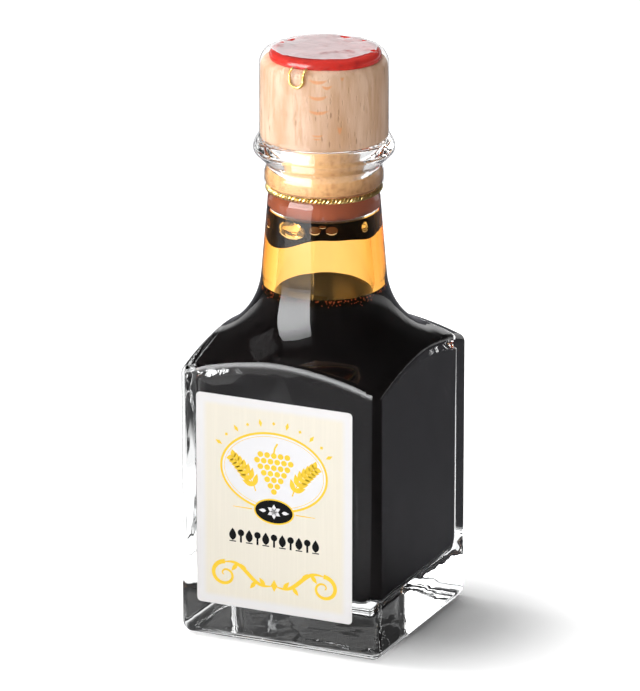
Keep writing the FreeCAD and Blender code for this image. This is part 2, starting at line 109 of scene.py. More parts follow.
class Recipe:
    """A material under construction."""

    def __init__(self, name: str) -> None:
        """Start an empty material.

        Args:
            name: What the material is called.
        """
        self.material = bpy.data.materials.new(name)
        self.material.use_nodes = True
        self.tree = self.material.node_tree
        self.tree.nodes.clear()

    def node(self, kind: str, **values: object) -> bpy.types.Node:
        """Add a node.

        Args:
            kind: The node's type name.
            values: Node settings, or input values with underscores for spaces.

        Returns:
            The new node.
        """
        made = self.tree.nodes.new(kind)
        for key, value in values.items():
            if hasattr(made, key):
                setattr(made, key, value)
            else:
                self.feed(made.inputs[key.replace("_", " ")], value)
        return made

    def feed(self, socket: Socket, value: object) -> None:
        """Give an input a value or a link.

        Args:
            socket: The input.
            value: A number, a colour or another node's output.
        """
        if isinstance(value, bpy.types.NodeSocket):
            self.tree.links.new(value, socket)
        elif isinstance(value, tuple) and len(value) == 3 and socket.type == "RGBA":
            socket.default_value = (*value, 1.0)
        else:
            socket.default_value = value

    def sum(self, kind: Math, first: object, second: object = 0.0, clamp: bool = False) -> Socket:
        """Work out one value from two.

        Args:
            kind: The sum to do.
            first: A number or an output.
            second: A number or an output.
            clamp: Whether the result is kept from 0 to 1.

        Returns:
            The result's output.
        """
        made = self.node("ShaderNodeMath", operation=kind.value, use_clamp=clamp)
        self.feed(made.inputs[0], first)
        self.feed(made.inputs[1], second)
        return made.outputs[0]

    def product(self, *factors: object) -> Socket:
        """Multiply values.

        Args:
            factors: Two or more numbers or outputs.

        Returns:
            The product's output.
        """
        total = factors[0]
        for factor in factors[1:]:
            total = self.sum(Math.MULTIPLY, total, factor)
        return total

    def distance(self, place: Socket, middle: Point) -> Socket:
        """How far a place is from a middle.

        Args:
            place: The place in millimetres.
            middle: The middle in millimetres.

        Returns:
            The distance's output.
        """
        made = self.node("ShaderNodeVectorMath", operation="DISTANCE")
        self.tree.links.new(place, made.inputs[0])
        made.inputs[1].default_value = middle
        return made.outputs["Value"]

    def mix(self, share: Socket, first: bpy.types.Node, second: bpy.types.Node) -> bpy.types.Node:
        """Mix two shaders.

        Args:
            share: How much of the second shader.
            first: The first shader's node.
            second: The second shader's node.

        Returns:
            The mixing node.
        """
        made = self.node("ShaderNodeMixShader", Fac=share)
        self.tree.links.new(first.outputs[0], made.inputs[1])
        self.tree.links.new(second.outputs[0], made.inputs[2])
        return made

    def blend(self, share: object, first: object, second: object) -> Socket:
        """Mix two colours.

        Args:
            share: How much of the second colour.
            first: The first colour.
            second: The second colour.

        Returns:
            The mixed colour's output.
        """
        made = self.node("ShaderNodeMix", data_type="RGBA")
        self.feed(made.inputs[0], share)
        self.feed(made.inputs[6], first)
        self.feed(made.inputs[7], second)
        return made.outputs[2]

    def choose(self, share: Socket, first: object, last: object) -> Socket:
        """One value for some rays and another for the rest.

        Args:
            share: 1 for the rays that take the last value.
            first: The value for the others.
            last: The value for these.

        Returns:
            The value's output.
        """
        made = self.node("ShaderNodeMix")
        self.feed(made.inputs[0], share)
        self.feed(made.inputs[2], first)
        self.feed(made.inputs[3], last)
        return made.outputs[0]

    def fade(self, value: object, low: float, high: float, first: float = 0.0,
             last: float = 1.0) -> Socket:
        """A smooth change from one value at low to another at high; high may be under low.

        Args:
            value: What it follows.
            low: Where the result is the first value.
            high: Where the result is the last value.
            first: The first value.
            last: The last value.

        Returns:
            The result's output.
        """
        made = self.node("ShaderNodeMapRange", interpolation_type="SMOOTHSTEP")
        swap = high < low
        self.feed(made.inputs["Value"], value)
        made.inputs["From Min"].default_value = min(low, high)
        made.inputs["From Max"].default_value = max(low, high)
        made.inputs["To Min"].default_value = last if swap else first
        made.inputs["To Max"].default_value = first if swap else last
        return made.outputs[0]

    def place(self, across: float = 1.0, up: float = 1.0) -> Socket:
        """The place on the piece in millimetres, scaled.

        Args:
            across: How much the x axis is scaled.
            up: How much the z axis is scaled.

        Returns:
            The place as a vector output.
        """
        coordinates = self.node("ShaderNodeTexCoord")
        mapping = self.node("ShaderNodeMapping")
        mapping.inputs["Scale"].default_value = (across / MM, 1.0 / MM, up / MM)
        self.tree.links.new(coordinates.outputs["Object"], mapping.inputs["Vector"])
        return mapping.outputs[0]

    def axes(self, vector: Socket) -> tuple[Socket, Socket, Socket]:
        """A vector's three parts."""
        parts = self.node("ShaderNodeSeparateXYZ", Vector=vector)
        return parts.outputs[0], parts.outputs[1], parts.outputs[2]

    def grain(self, vector: Socket, scale: float, detail: float = 2.0,
              roughness: float = 0.5) -> Socket:
        """Soft random variation.

        Args:
            vector: Where it is looked up.
            scale: How fine it is.
            detail: How many finer layers it has.
            roughness: How strong the finer layers are.

        Returns:
            A value round 0.5.
        """
        made = self.node("ShaderNodeTexNoise", Vector=vector, Scale=scale, Detail=detail,
                         Roughness=roughness)
        return made.outputs[0]

    def relief(self, height: Socket, strength: float, distance: float) -> Socket:
        """Fine relief.

        Args:
            height: The height it follows.
            strength: How strong it is.
            distance: Its depth in metres.

        Returns:
            The bent normal's output.
        """
        made = self.node("ShaderNodeBump", Height=height)
        made.inputs["Strength"].default_value = strength
        made.inputs["Distance"].default_value = distance
        return made.outputs[0]

    def surface(self, **values: object) -> bpy.types.Node:
        """The main surface of the finish, joined to the output.

        Args:
            values: The surface's inputs with underscores for spaces.

        Returns:
            The surface node.
        """
        made = self.node("ShaderNodeBsdfPrincipled", **values)
        self.finish(made.outputs[0])
        return made

    def finish(self, shader: Socket) -> bpy.types.Node:
        """Join a shader to the output.

        Args:
            shader: The shader's output.

        Returns:
            The output node.
        """
        output = self.node("ShaderNodeOutputMaterial")
        self.tree.links.new(shader, output.inputs["Surface"])
        return output


class WorldRecipe(Recipe):
    """The surroundings under construction."""

    def __init__(self, name: str) -> None:
        """Start empty surroundings.

        Args:
            name: What they are called.
        """
        world = bpy.data.worlds.new(name)
        bpy.context.scene.world = world
        world.use_nodes = True
        self.tree = world.node_tree
        self.tree.nodes.clear()


@dataclass
class Shell:
    """Points in millimetres and the faces between them, gathered bit by bit."""

    points: list[Vector] = field(default_factory=list)
    faces: list[tuple[int, ...]] = field(default_factory=list)
    kinds: list[int] = field(default_factory=list)

    def add(self, points: Iterable[Point], faces: Iterable[Sequence[int]], kind: int = 0) -> None:
        """Add points and faces.

        Args:
            points: The new points.
            faces: The new faces, numbered from the first new point.
            kind: Which of the piece's finishes they have.
        """
        base = len(self.points)
        self.points.extend(Vector(point) for point in points)
        for face in faces:
            self.faces.append(tuple(base + corner for corner in face))
            self.kinds.append(kind)

    def grid(self, rows: Sequence[Sequence[Point]], around: bool = True, along: bool = False,
             kind: int = 0, keep: Optional[Callable[[int, int], bool]] = None) -> None:
        """Add rows of points joined by four-sided faces.

        Args:
            rows: Rows of equal length.
            around: Whether each row closes on itself.
            along: Whether the last row joins the first.
            kind: Which of the piece's finishes they have.
            keep: Says whether the face at a row and a column is wanted.
        """
        width = len(rows[0])
        faces = []
        for row in range(len(rows) if along else len(rows) - 1):
            following = (row + 1) % len(rows)
            for column in range(width if around else width - 1):
                beside = (column + 1) % width
                if keep is None or keep(row, column):
                    faces.append((row * width + column, row * width + beside,
                                  following * width + beside, following * width + column))
        self.add([point for line in rows for point in line], faces, kind)

    def cap(self, ring: Sequence[Point], flip: bool = False) -> None:
        """Close a ring of points with one flat face."""
        order = range(len(ring))
        self.add(ring, [tuple(reversed(order)) if flip else tuple(order)])

    def tube(self, path: Sequence[Vector], radius: float, sides: int, closed: bool) -> None:
        """Add a round tube along a path.

        Args:
            path: The tube's centre line.
            radius: Half its thickness.
            sides: How many faces go round it.
            closed: Whether the path closes on itself.
        """
        count = len(path)
        across = None
        rows = []
        for number, point in enumerate(path):
            before = path[(number - 1) % count] if closed or number else point
            after = path[(number + 1) % count] if closed or number < count - 1 else point
            ahead = (after - before).normalized()
            if across is None:
                across = ahead.orthogonal().normalized()
            across = (across - ahead * across.dot(ahead)).normalized()
            beside = ahead.cross(across)
            rows.append([point + (across * math.cos(turn) + beside * math.sin(turn)) * radius
                         for turn in circle(sides)])
        self.grid(rows, along=closed)
        if not closed:
            self.cap(rows[0], flip=True)
            self.cap(rows[-1])

    def ball(self, centre: Vector, radii: Point, rings: int, sides: int) -> None:
        """Add a ball, longer along some axes than along others.

        Args:
            centre: Its middle.
            radii: Its half sizes along x, y and z.
            rings: How many steps go from pole to pole.
            sides: How many faces go round it.
        """
        rows = []
        for ring in range(1, rings):
            lift = math.pi * ring / rings
            rows.append([centre + Vector((radii[0] * math.sin(lift) * math.cos(turn),
                                          radii[1] * math.sin(lift) * math.sin(turn),
                                          -radii[2] * math.cos(lift)))
                         for turn in circle(sides)])
        self.grid(rows)
        self.cap(rows[0], flip=True)
        self.cap(rows[-1])

    def piece(self, name: str, finishes: Sequence[bpy.types.Material], slot: Optional[Slot] = None,
              crease: float = 35.0, weld: float = 0.0005) -> bpy.types.Object:
        """Make the mesh piece, and let it ride on the body when a slot is given.

        Args:
            name: The piece's name.
            finishes: Its materials.
            slot: Any slot makes the piece ride on the body; which one is not kept.
            crease: Edges sharper than this many degrees stay sharp.
            weld: Points closer than this, in millimetres, become one.

        Returns:
            The new object.
        """
        mesh = bpy.data.meshes.new(name)
        mesh.from_pydata([point * MM for point in self.points], [], self.faces)
        for finish in finishes:
            mesh.materials.append(finish)
        mesh.polygons.foreach_set("material_index", self.kinds)
        work = bmesh.new()
        work.from_mesh(mesh)
        bmesh.ops.remove_doubles(work, verts=work.verts, dist=weld * MM)
        bmesh.ops.recalc_face_normals(work, faces=work.faces)
        work.to_mesh(mesh)
        work.free()
        mesh.shade_smooth()
        mesh.set_sharp_from_angle(angle=math.radians(crease))
        made = bpy.data.objects.new(name, mesh)
        bpy.context.scene.collection.objects.link(made)
        if slot is not None:
            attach(made, BODY)
        return made


def turned(profile: Sequence[tuple[float, float]], sides: int,
           wander: Optional[Callable[[float, float, float], float]] = None) -> list[list[Vector]]:
    """Rows of points from a profile turned about the upright axis.

    Args:
        profile: Pairs of radius and height.
        sides: How many points go round.
        wander: Adds to the radius, from the turn, the radius and the height.

    Returns:
        One row of points for each point of the profile.
    """
    rows = []
    for radius, height in profile:
        row = []
        for turn in circle(sides):
            reach = radius + (wander(turn, radius, height) if wander else 0.0)
            row.append(Vector((reach * math.cos(turn), reach * math.sin(turn), height)))
        rows.append(row)
    return rows


def eased(profile: Sequence[tuple[float, float]], reach: float, steps: int = 5) -> list[tuple[float, float]]:
    """Round off a profile's corners.

    Args:
        profile: Pairs of radius and height.
        reach: How far from a corner the rounding starts.
        steps: How many points stand for each corner.

    Returns:
        The profile with rounded corners.
    """
    rounded = [profile[0]]
    for before, corner, after in zip(profile, profile[1:], profile[2:]):
        here = Vector(corner)
        back = Vector(before) - here
        on = Vector(after) - here
        start = here + back.normalized() * min(reach, back.length * CORNER_SHARE)
        end = here + on.normalized() * min(reach, on.length * CORNER_SHARE)
        for step in range(steps + 1):
            share = step / steps
            point = start * (1 - share) ** 2 + here * 2 * share * (1 - share) + end * share ** 2
            rounded.append((point.x, point.y))
    rounded.append(profile[-1])
    return rounded


def circle(count: int) -> list[float]:
    """The turns of points spread evenly round a circle."""
    return [2 * math.pi * number / count for number in range(count)]


def around(turn: float, radius: float, height: float) -> Vector:
    """The point at a turn from the front, a radius and a height."""
    angle = FRONT_TURN + turn
    return Vector((radius * math.cos(angle), radius * math.sin(angle), height))


def from_front(angle: float) -> float:
    """How far an angle from +X is turned from the front, from -pi to pi."""
    return (angle - FRONT_TURN + math.pi) % (2 * math.pi) - math.pi


# ---------------------------------------------------------------- finishes


@dataclass(frozen=True)
class Glass:
    """Clear moulded glass, slightly uneven, and more so in its thick base."""

    tint: Colour = (0.985, 0.992, 0.99)
    bend: float = 1.5
    wave_scale: float = 0.09
    wave_strength: float = 0.12
    wave_depth: float = 0.001
    ripple_scale: float = 0.13
    ripple: float = 1.4
    # the heights in millimetres between which the base's ripple comes in
    ripple_from: float = 12.5
    ripple_full: float = 8.5

    def build(self) -> bpy.types.Material:
        """Make the finish.

        Returns:
            The glass material.
        """
        recipe = Recipe("clear_glass")
        place = recipe.place()
        _, _, up = recipe.axes(place)
        waves = recipe.grain(place, self.wave_scale)
        base = recipe.product(recipe.grain(place, self.ripple_scale, 1.5),
                              recipe.fade(up, self.ripple_from, self.ripple_full), self.ripple)
        normal = recipe.relief(recipe.sum(Math.ADD, waves, base), self.wave_strength, self.wave_depth)
        recipe.surface(Base_Color=self.tint, Roughness=0.0, IOR=self.bend, Transmission_Weight=1.0,
                       Normal=normal)
        return recipe.material


@dataclass(frozen=True)
class DarkVinegar:
    """Vinegar so dark that only thin layers of it let light through."""

    colour: Colour = (0.006, 0.0045, 0.0045)
    # how much light bends where the vinegar meets glass, and where it meets air
    against_glass: float = 0.905
    against_air: float = 1.36
    rough: float = 0.02

    def build(self, free: bool) -> bpy.types.Material:
        """The material of one of the vinegar's faces.

        Args:
            free: Whether the face meets air rather than glass.

        Returns:
            The material.
        """
        recipe = Recipe("vinegar_level" if free else "vinegar")
        if free:
            recipe.surface(Base_Color=self.colour, Roughness=self.rough, IOR=self.against_air)
            return recipe.material
        dark = recipe.node("ShaderNodeBsdfDiffuse", Color=self.colour)
        gloss = recipe.node("ShaderNodeBsdfGlossy", Color=(1.0, 1.0, 1.0), Roughness=0.0)
        mirror = recipe.node("ShaderNodeFresnel", IOR=self.against_glass)
        recipe.finish(recipe.mix(mirror.outputs[0], dark, gloss).outputs[0])
        return recipe.material


@dataclass(frozen=True)
class AmberStain:
    """A thin film of vinegar on the glass, clear and amber."""

    colour: Colour = (0.996, 0.70, 0.02)
    # how much a metre of it takes up
    strength: float = 1900.0

    def build(self) -> bpy.types.Material:
        """Make the finish.

        Returns:
            The stain's material.
        """
        recipe = Recipe("amber_stain")
        clear = recipe.node("ShaderNodeBsdfTransparent", Color=(1.0, 1.0, 1.0))
        tint = recipe.node("ShaderNodeVolumeAbsorption", Color=self.colour, Density=self.strength)
        output = recipe.finish(clear.outputs[0])
        recipe.tree.links.new(tint.outputs[0], output.inputs["Volume"])
        return recipe.material


@dataclass(frozen=True)
class Plain:
    """An even finish."""

    name: str
    colour: Colour
    rough: float = 0.4
    clear: float = 0.0
    bend: float = 1.5

    def build(self) -> bpy.types.Material:
        """Make the finish.

        Returns:
            The even material.
        """
        recipe = Recipe(self.name)
        recipe.surface(Base_Color=self.colour, Roughness=self.rough, Transmission_Weight=self.clear,
                       IOR=self.bend)
        return recipe.material


@dataclass(frozen=True)
class Beech:
    """Turned beech: pale, with upright flecks and a few rays cut across."""

    pale: Colour = (0.96, 0.67, 0.48)
    deep: Colour = (0.72, 0.41, 0.22)
    fleck: Colour = (0.46, 0.22, 0.11)
    ray: Colour = (0.88, 0.36, 0.13)
    # turn from the front in degrees, height over the foot, half width in degrees, half height
    rays: tuple[tuple[float, float, float, float], ...] = (
        (-5.5, 15.8, 9.0, 0.4), (2.5, 14.6, 5.0, 0.38), (-5.5, 12.2, 8.8, 0.45), (-5.0, 9.0, 9.5, 0.42),
        (-6.0, 3.8, 5.5, 0.22), (-6.5, 3.1, 4.0, 0.18), (14.0, 4.9, 2.4, 0.75), (16.5, 16.4, 2.0, 0.3))
    ray_share: float = 0.8
    ray_sag: float = 1.6
    ray_ragged: float = 0.35
    # where a ray has faded out and where it is full, as squared shares of its half size
    ray_edge: tuple[float, float] = (1.15, 0.3)
    streak_share: float = 0.8
    fleck_share: float = 0.75
    relief_strength: float = 0.8
    relief_depth: float = 0.00015
    rough: float = 0.55
    bend: float = 1.45

    def build(self, foot: float) -> bpy.types.Material:
        """The wood's material.

        Args:
            foot: The height of the wood's lower end.

        Returns:
            The material.
        """
        recipe = Recipe("beech")
        across, back, up = recipe.axes(recipe.place())
        turn = recipe.sum(Math.ANGLE, back, across)
        clouds = recipe.grain(recipe.place(up=0.26), 0.22)
        colour = recipe.blend(recipe.fade(clouds, 0.3, 0.75), self.pale, self.deep)
        streaks = recipe.grain(recipe.place(up=0.13), 1.1, 4.0, 0.65)
        streaked = recipe.product(recipe.fade(streaks, 0.45, 0.7), self.streak_share)
        colour = recipe.blend(streaked, colour, self.deep)
        cells = recipe.node("ShaderNodeTexVoronoi", Vector=recipe.place(up=0.3), Scale=1.05, Randomness=1.0)
        flecks = recipe.fade(cells.outputs["Distance"], 0.3, 0.12)
        chance = recipe.fade(recipe.grain(recipe.place(up=0.2), 0.5), 0.5, 0.62)
        colour = recipe.blend(recipe.product(flecks, chance, self.fleck_share), colour, self.fleck)
        rays = recipe.product(self.rays_over(recipe, turn, up, foot), self.ray_share)
        colour = recipe.blend(rays, colour, self.ray)
        height = recipe.sum(Math.SUBTRACT, streaks, recipe.product(flecks, 0.6))
        recipe.surface(Base_Color=colour, Roughness=self.rough, IOR=self.bend,
                       Normal=recipe.relief(height, self.relief_strength, self.relief_depth))
        return recipe.material

    def rays_over(self, recipe: Recipe, turn: Socket, up: Socket, foot: float) -> Socket:
        """Where the rays are: short crescents that hang down in the middle.

        Args:
            recipe: The wood's recipe.
            turn: The angle about the axis.
            up: The height.
            foot: The height of the wood's lower end.

        Returns:
            1 on a ray and 0 elsewhere.
        """
        total: object = 0.0
        uneven = recipe.sum(Math.SUBTRACT, recipe.grain(recipe.place(up=0.6), 1.1), 0.5)
        uneven = recipe.product(uneven, self.ray_ragged)
        for degrees, over, half_turn, half_high in self.rays:
            middle = FRONT_TURN + math.radians(degrees)
            aside = recipe.sum(Math.SUBTRACT, turn, middle)
            aside = recipe.sum(Math.DIVIDE, aside, math.radians(half_turn))
            aside_squared = recipe.product(aside, aside)
            line = recipe.sum(Math.ADD, foot + over, recipe.product(aside_squared, half_high * self.ray_sag))
            off = recipe.sum(Math.ADD, recipe.sum(Math.SUBTRACT, up, line), uneven)
            off = recipe.sum(Math.DIVIDE, off, half_high)
            distance = recipe.sum(Math.ADD, recipe.product(off, off), aside_squared)
            total = recipe.sum(Math.MAXIMUM, total, recipe.fade(distance, *self.ray_edge))
        return total


@dataclass(frozen=True)
class Cork:
    """The cork of the stem, soaked brown towards its lower end."""

    pale: Colour = (0.93, 0.52, 0.21)
    dark: Colour = (0.74, 0.34, 0.12)
    soaked: Colour = (0.32, 0.062, 0.012)
    wet: Colour = (0.13, 0.03, 0.012)
    # heights over the lower end where each stain has gone and where it is full
    soaked_span: tuple[float, float] = (8.6, 6.6)
    wet_span: tuple[float, float] = (3.4, 1.6)
    stain_sway: float = 2.6
    rough: float = 0.5

    def build(self, low: float) -> bpy.types.Material:
        """The cork's material.

        Args:
            low: The height of the stem's lower end.

        Returns:
            The material.
        """
        recipe = Recipe("cork")
        place = recipe.place()
        _, _, up = recipe.axes(place)
        crumbs = recipe.grain(place, 0.9, 4.0, 0.6)
        colour = recipe.blend(recipe.fade(crumbs, 0.45, 0.7), self.pale, self.dark)
        sway = recipe.product(recipe.grain(place, 0.35, 3.0), self.stain_sway)
        level = recipe.sum(Math.ADD, up, sway)
        for (gone, full), stain in ((self.soaked_span, self.soaked), (self.wet_span, self.wet)):
            colour = recipe.blend(recipe.fade(level, low + gone, low + full), colour, stain)
        recipe.surface(Base_Color=colour, Roughness=self.rough, Normal=recipe.relief(crumbs, 0.4, 0.0002))
        return recipe.material


@dataclass(frozen=True)
class RedWax:
    """Glossy red sealing wax."""

    colour: Colour = (0.86, 0.026, 0.012)
    deep: Colour = (0.56, 0.01, 0.01)
    rough: float = 0.24
    bend: float = 1.45
    coat: float = 0.6
    glow: float = 0.15
    glow_reach: Colour = (0.001, 0.0004, 0.0003)

    def build(self) -> bpy.types.Material:
        """Make the finish.

        Returns:
            The wax material.
        """
        recipe = Recipe("red_wax")
        clouds = recipe.grain(recipe.place(), 0.35, 3.0)
        colour = recipe.blend(recipe.fade(clouds, 0.5, 0.8), self.colour, self.deep)
        recipe.surface(Base_Color=colour, Roughness=self.rough, IOR=self.bend, Coat_Weight=self.coat,
                       Coat_Roughness=0.06, Subsurface_Weight=self.glow,
                       Subsurface_Radius=self.glow_reach, Subsurface_Scale=0.6,
                       Normal=recipe.relief(clouds, 0.3, 0.0003))
        return recipe.material


@dataclass(frozen=True)
class GoldThread:
    """Metal thread, bright with dark gaps."""

    colour: Colour = (1.0, 0.74, 0.28)
    rough: float = 0.28

    def build(self) -> bpy.types.Material:
        """Make the finish.

        Returns:
            The thread's material.
        """
        recipe = Recipe("gold_thread")
        fuzz = recipe.grain(recipe.place(), 5.0)
        recipe.surface(Base_Color=self.colour, Metallic=1.0, Roughness=self.rough,
                       Normal=recipe.relief(fuzz, 0.5, 0.0001))
        return recipe.material


@dataclass(frozen=True)
class ClearFilm:
    """Thin clear film: it mirrors a little, and on its gathered top white is painted in as a reflection,
    with a painted highlight along the folded edge.
    """

    # white: the colour painted on as reflection and highlight; haze: a little of that white over the whole
    # film
    white: Colour = (1.0, 0.97, 0.98)
    haze: float = 0.02
    bend: float = 1.26
    rough: float = 0.05
    # the painted reflection on the gathered top: how white it is, its middle, how far it reaches, and how
    # far down it starts
    top_painted_reflection: float = 0.66
    painted_reflection_middle: tuple[float, float] = (-0.75, 1.64)
    painted_reflection_reach: float = 12.4
    painted_reflection_soft: float = 0.7
    painted_reflection_depth: tuple[float, float] = (3.0, 1.7)
    painted_reflection_sway: float = 1.2
    # the painted highlight along its folded edge: how white it is, and how far in its inner side starts and
    # is full
    painted_fold_highlight: float = 0.55
    painted_fold_highlight_edge: float = 0.15
    painted_fold_highlight_span: tuple[float, float] = (0.6, 0.3)

    def build(self, top: float) -> bpy.types.Material:
        """The film's material.

        Args:
            top: The height of the film's flat top in millimetres.

        Returns:
            The material.
        """
        recipe = Recipe("clear_film")
        place = recipe.place()
        crumple = recipe.grain(place, 0.22, 3.0, 0.55)
        normal = recipe.relief(crumple, 0.2, 0.0008)
        clear = recipe.node("ShaderNodeBsdfTransparent", Color=(1.0, 1.0, 1.0))
        # a white diffuse that stands in for reflected light: the painted reflection on top and the painted
        # highlight at the folded edge
        white = recipe.node("ShaderNodeBsdfDiffuse", Color=self.white)
        gloss = recipe.node("ShaderNodeBsdfGlossy", Color=(1.0, 1.0, 1.0), Roughness=self.rough,
                            Normal=normal)
        side = recipe.node("ShaderNodeNewGeometry").outputs["Backfacing"]
        turned_over = recipe.sum(Math.SUBTRACT, 1.0, recipe.product(side, 2.0))
        mirror = recipe.node("ShaderNodeFresnel", IOR=recipe.sum(Math.POWER, self.bend, turned_over),
                             Normal=normal)
        # the white share: a little haze everywhere, with the painted reflection and highlight on top
        haze_and_painted_white = recipe.sum(Math.ADD, self.gathered(recipe, place, crumple, top), self.haze)
        clear_and_painted_white = recipe.mix(haze_and_painted_white, clear, white)
        recipe.finish(recipe.mix(mirror.outputs[0], clear_and_painted_white, gloss).outputs[0])
        return recipe.material

    def gathered(self, recipe: Recipe, place: Socket, crumple: Socket, top: float) -> Socket:
        """How white the film is painted on its gathered top: a painted reflection, with a painted highlight
        along the folded edge.

        Args:
            recipe: The film's recipe.
            place: The place on the film in millimetres.
            crumple: The film's unevenness.
            top: The height of the film's flat top in millimetres.

        Returns:
            0 where it is clear and 1 where it is white.
        """
        _, _, up = recipe.axes(place)
        # the painted reflection: white within a reach of a middle on the top
        away = recipe.distance(place, (*self.painted_reflection_middle, top))
        reach = recipe.sum(Math.ADD, away, recipe.product(crumple, self.painted_reflection_sway))
        start, full = (top - depth for depth in self.painted_reflection_depth)
        edge = self.painted_reflection_reach
        over = recipe.product(recipe.fade(up, start, full), recipe.fade(crumple, 0.1, 0.5),
                              recipe.fade(reach, edge, edge - self.painted_reflection_soft), self.top_painted_reflection)
        # the painted highlight: a white band just inside the patch's edge
        inner, outer = (edge - depth for depth in self.painted_fold_highlight_span)
        painted_fold_highlight = recipe.product(recipe.fade(reach, edge, edge - self.painted_fold_highlight_edge),
                              recipe.fade(reach, inner, outer), self.painted_fold_highlight)
        return recipe.sum(Math.ADD, over, painted_fold_highlight, clamp=True)


@dataclass(frozen=True)
class LabelPaper:
    """Laid paper: a cream field that fades to a white border."""

    cream: Colour = (0.83, 0.775, 0.66)
    white: Colour = (0.82, 0.80, 0.795)
    border: float = 1.3
    soft: float = 1.6
    rib_lighter: float = 1.05
    rib_share: float = 0.5
    rough: float = 0.6

    def build(self, low: Vector, high: Vector) -> bpy.types.Material:
        """The paper's material.

        Args:
            low: The label's lowest corner in millimetres.
            high: The label's highest corner in millimetres.

        Returns:
            The material.
        """
        recipe = Recipe("label_paper")
        across, _, up = recipe.axes(recipe.place())
        inside: object = 1.0
        for value, near, far in ((across, low.x, high.x), (up, low.z, high.z)):
            first = recipe.fade(value, near + self.border, near + self.border + self.soft)
            last = recipe.fade(value, far - self.border, far - self.border - self.soft)
            inside = recipe.product(inside, first, last)
        ribs = recipe.grain(recipe.place(across=2.6, up=0.06), 0.8)
        colour = recipe.blend(inside, self.white, self.cream)
        lighter = tuple(min(1.0, part * self.rib_lighter) for part in self.cream)
        share = recipe.product(recipe.fade(ribs, 0.45, 0.7), inside, self.rib_share)
        colour = recipe.blend(share, colour, lighter)
        recipe.surface(Base_Color=colour, Roughness=self.rough, Normal=recipe.relief(ribs, 0.25, 0.00006))
        return recipe.material


# ---------------------------------------------------------------- the glass and what it holds


class GlassBottle:
    """The square glass bottle: the part's own glass, dressed, and the shape of its neck inside."""

    # the neck's inside lies within this radius and above this height
    bore_within = 11.5
    bore_above = 74.0

    def __init__(self, finish: Glass) -> None:
        """Dress the glass and measure its bore.

        Args:
            finish: The glass finish.
        """
        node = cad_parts["bottle"]
        node.data.materials.clear()
        node.data.materials.append(finish.build())
        self.node = node
        self.rings = self.measure_bore()

    def measure_bore(self) -> list[tuple[float, float]]:
        """Measure the rings of points inside the neck.

        Returns:
            Their heights and radii in millimetres, from low to high.
        """
        found: dict[float, float] = {}
        for vertex in self.node.data.vertices:
            place = vertex.co / MM
            radius = math.hypot(place.x, place.y)
            if radius < self.bore_within and place.z > self.bore_above:
                found[round(place.z, 2)] = radius
        return sorted(found.items())

    def bore(self, height: float) -> float:
        """Find the inside radius of the neck.

        Args:
            height: The height in millimetres.

        Returns:
            The radius there in millimetres.
        """
        for (low, low_radius), (high, high_radius) in zip(self.rings, self.rings[1:]):
            if low <= height <= high:
                share = (height - low) / max(high - low, 1e-9)
                return low_radius + (high_radius - low_radius) * share
        return self.rings[0][1] if height < self.rings[0][0] else self.rings[-1][1]


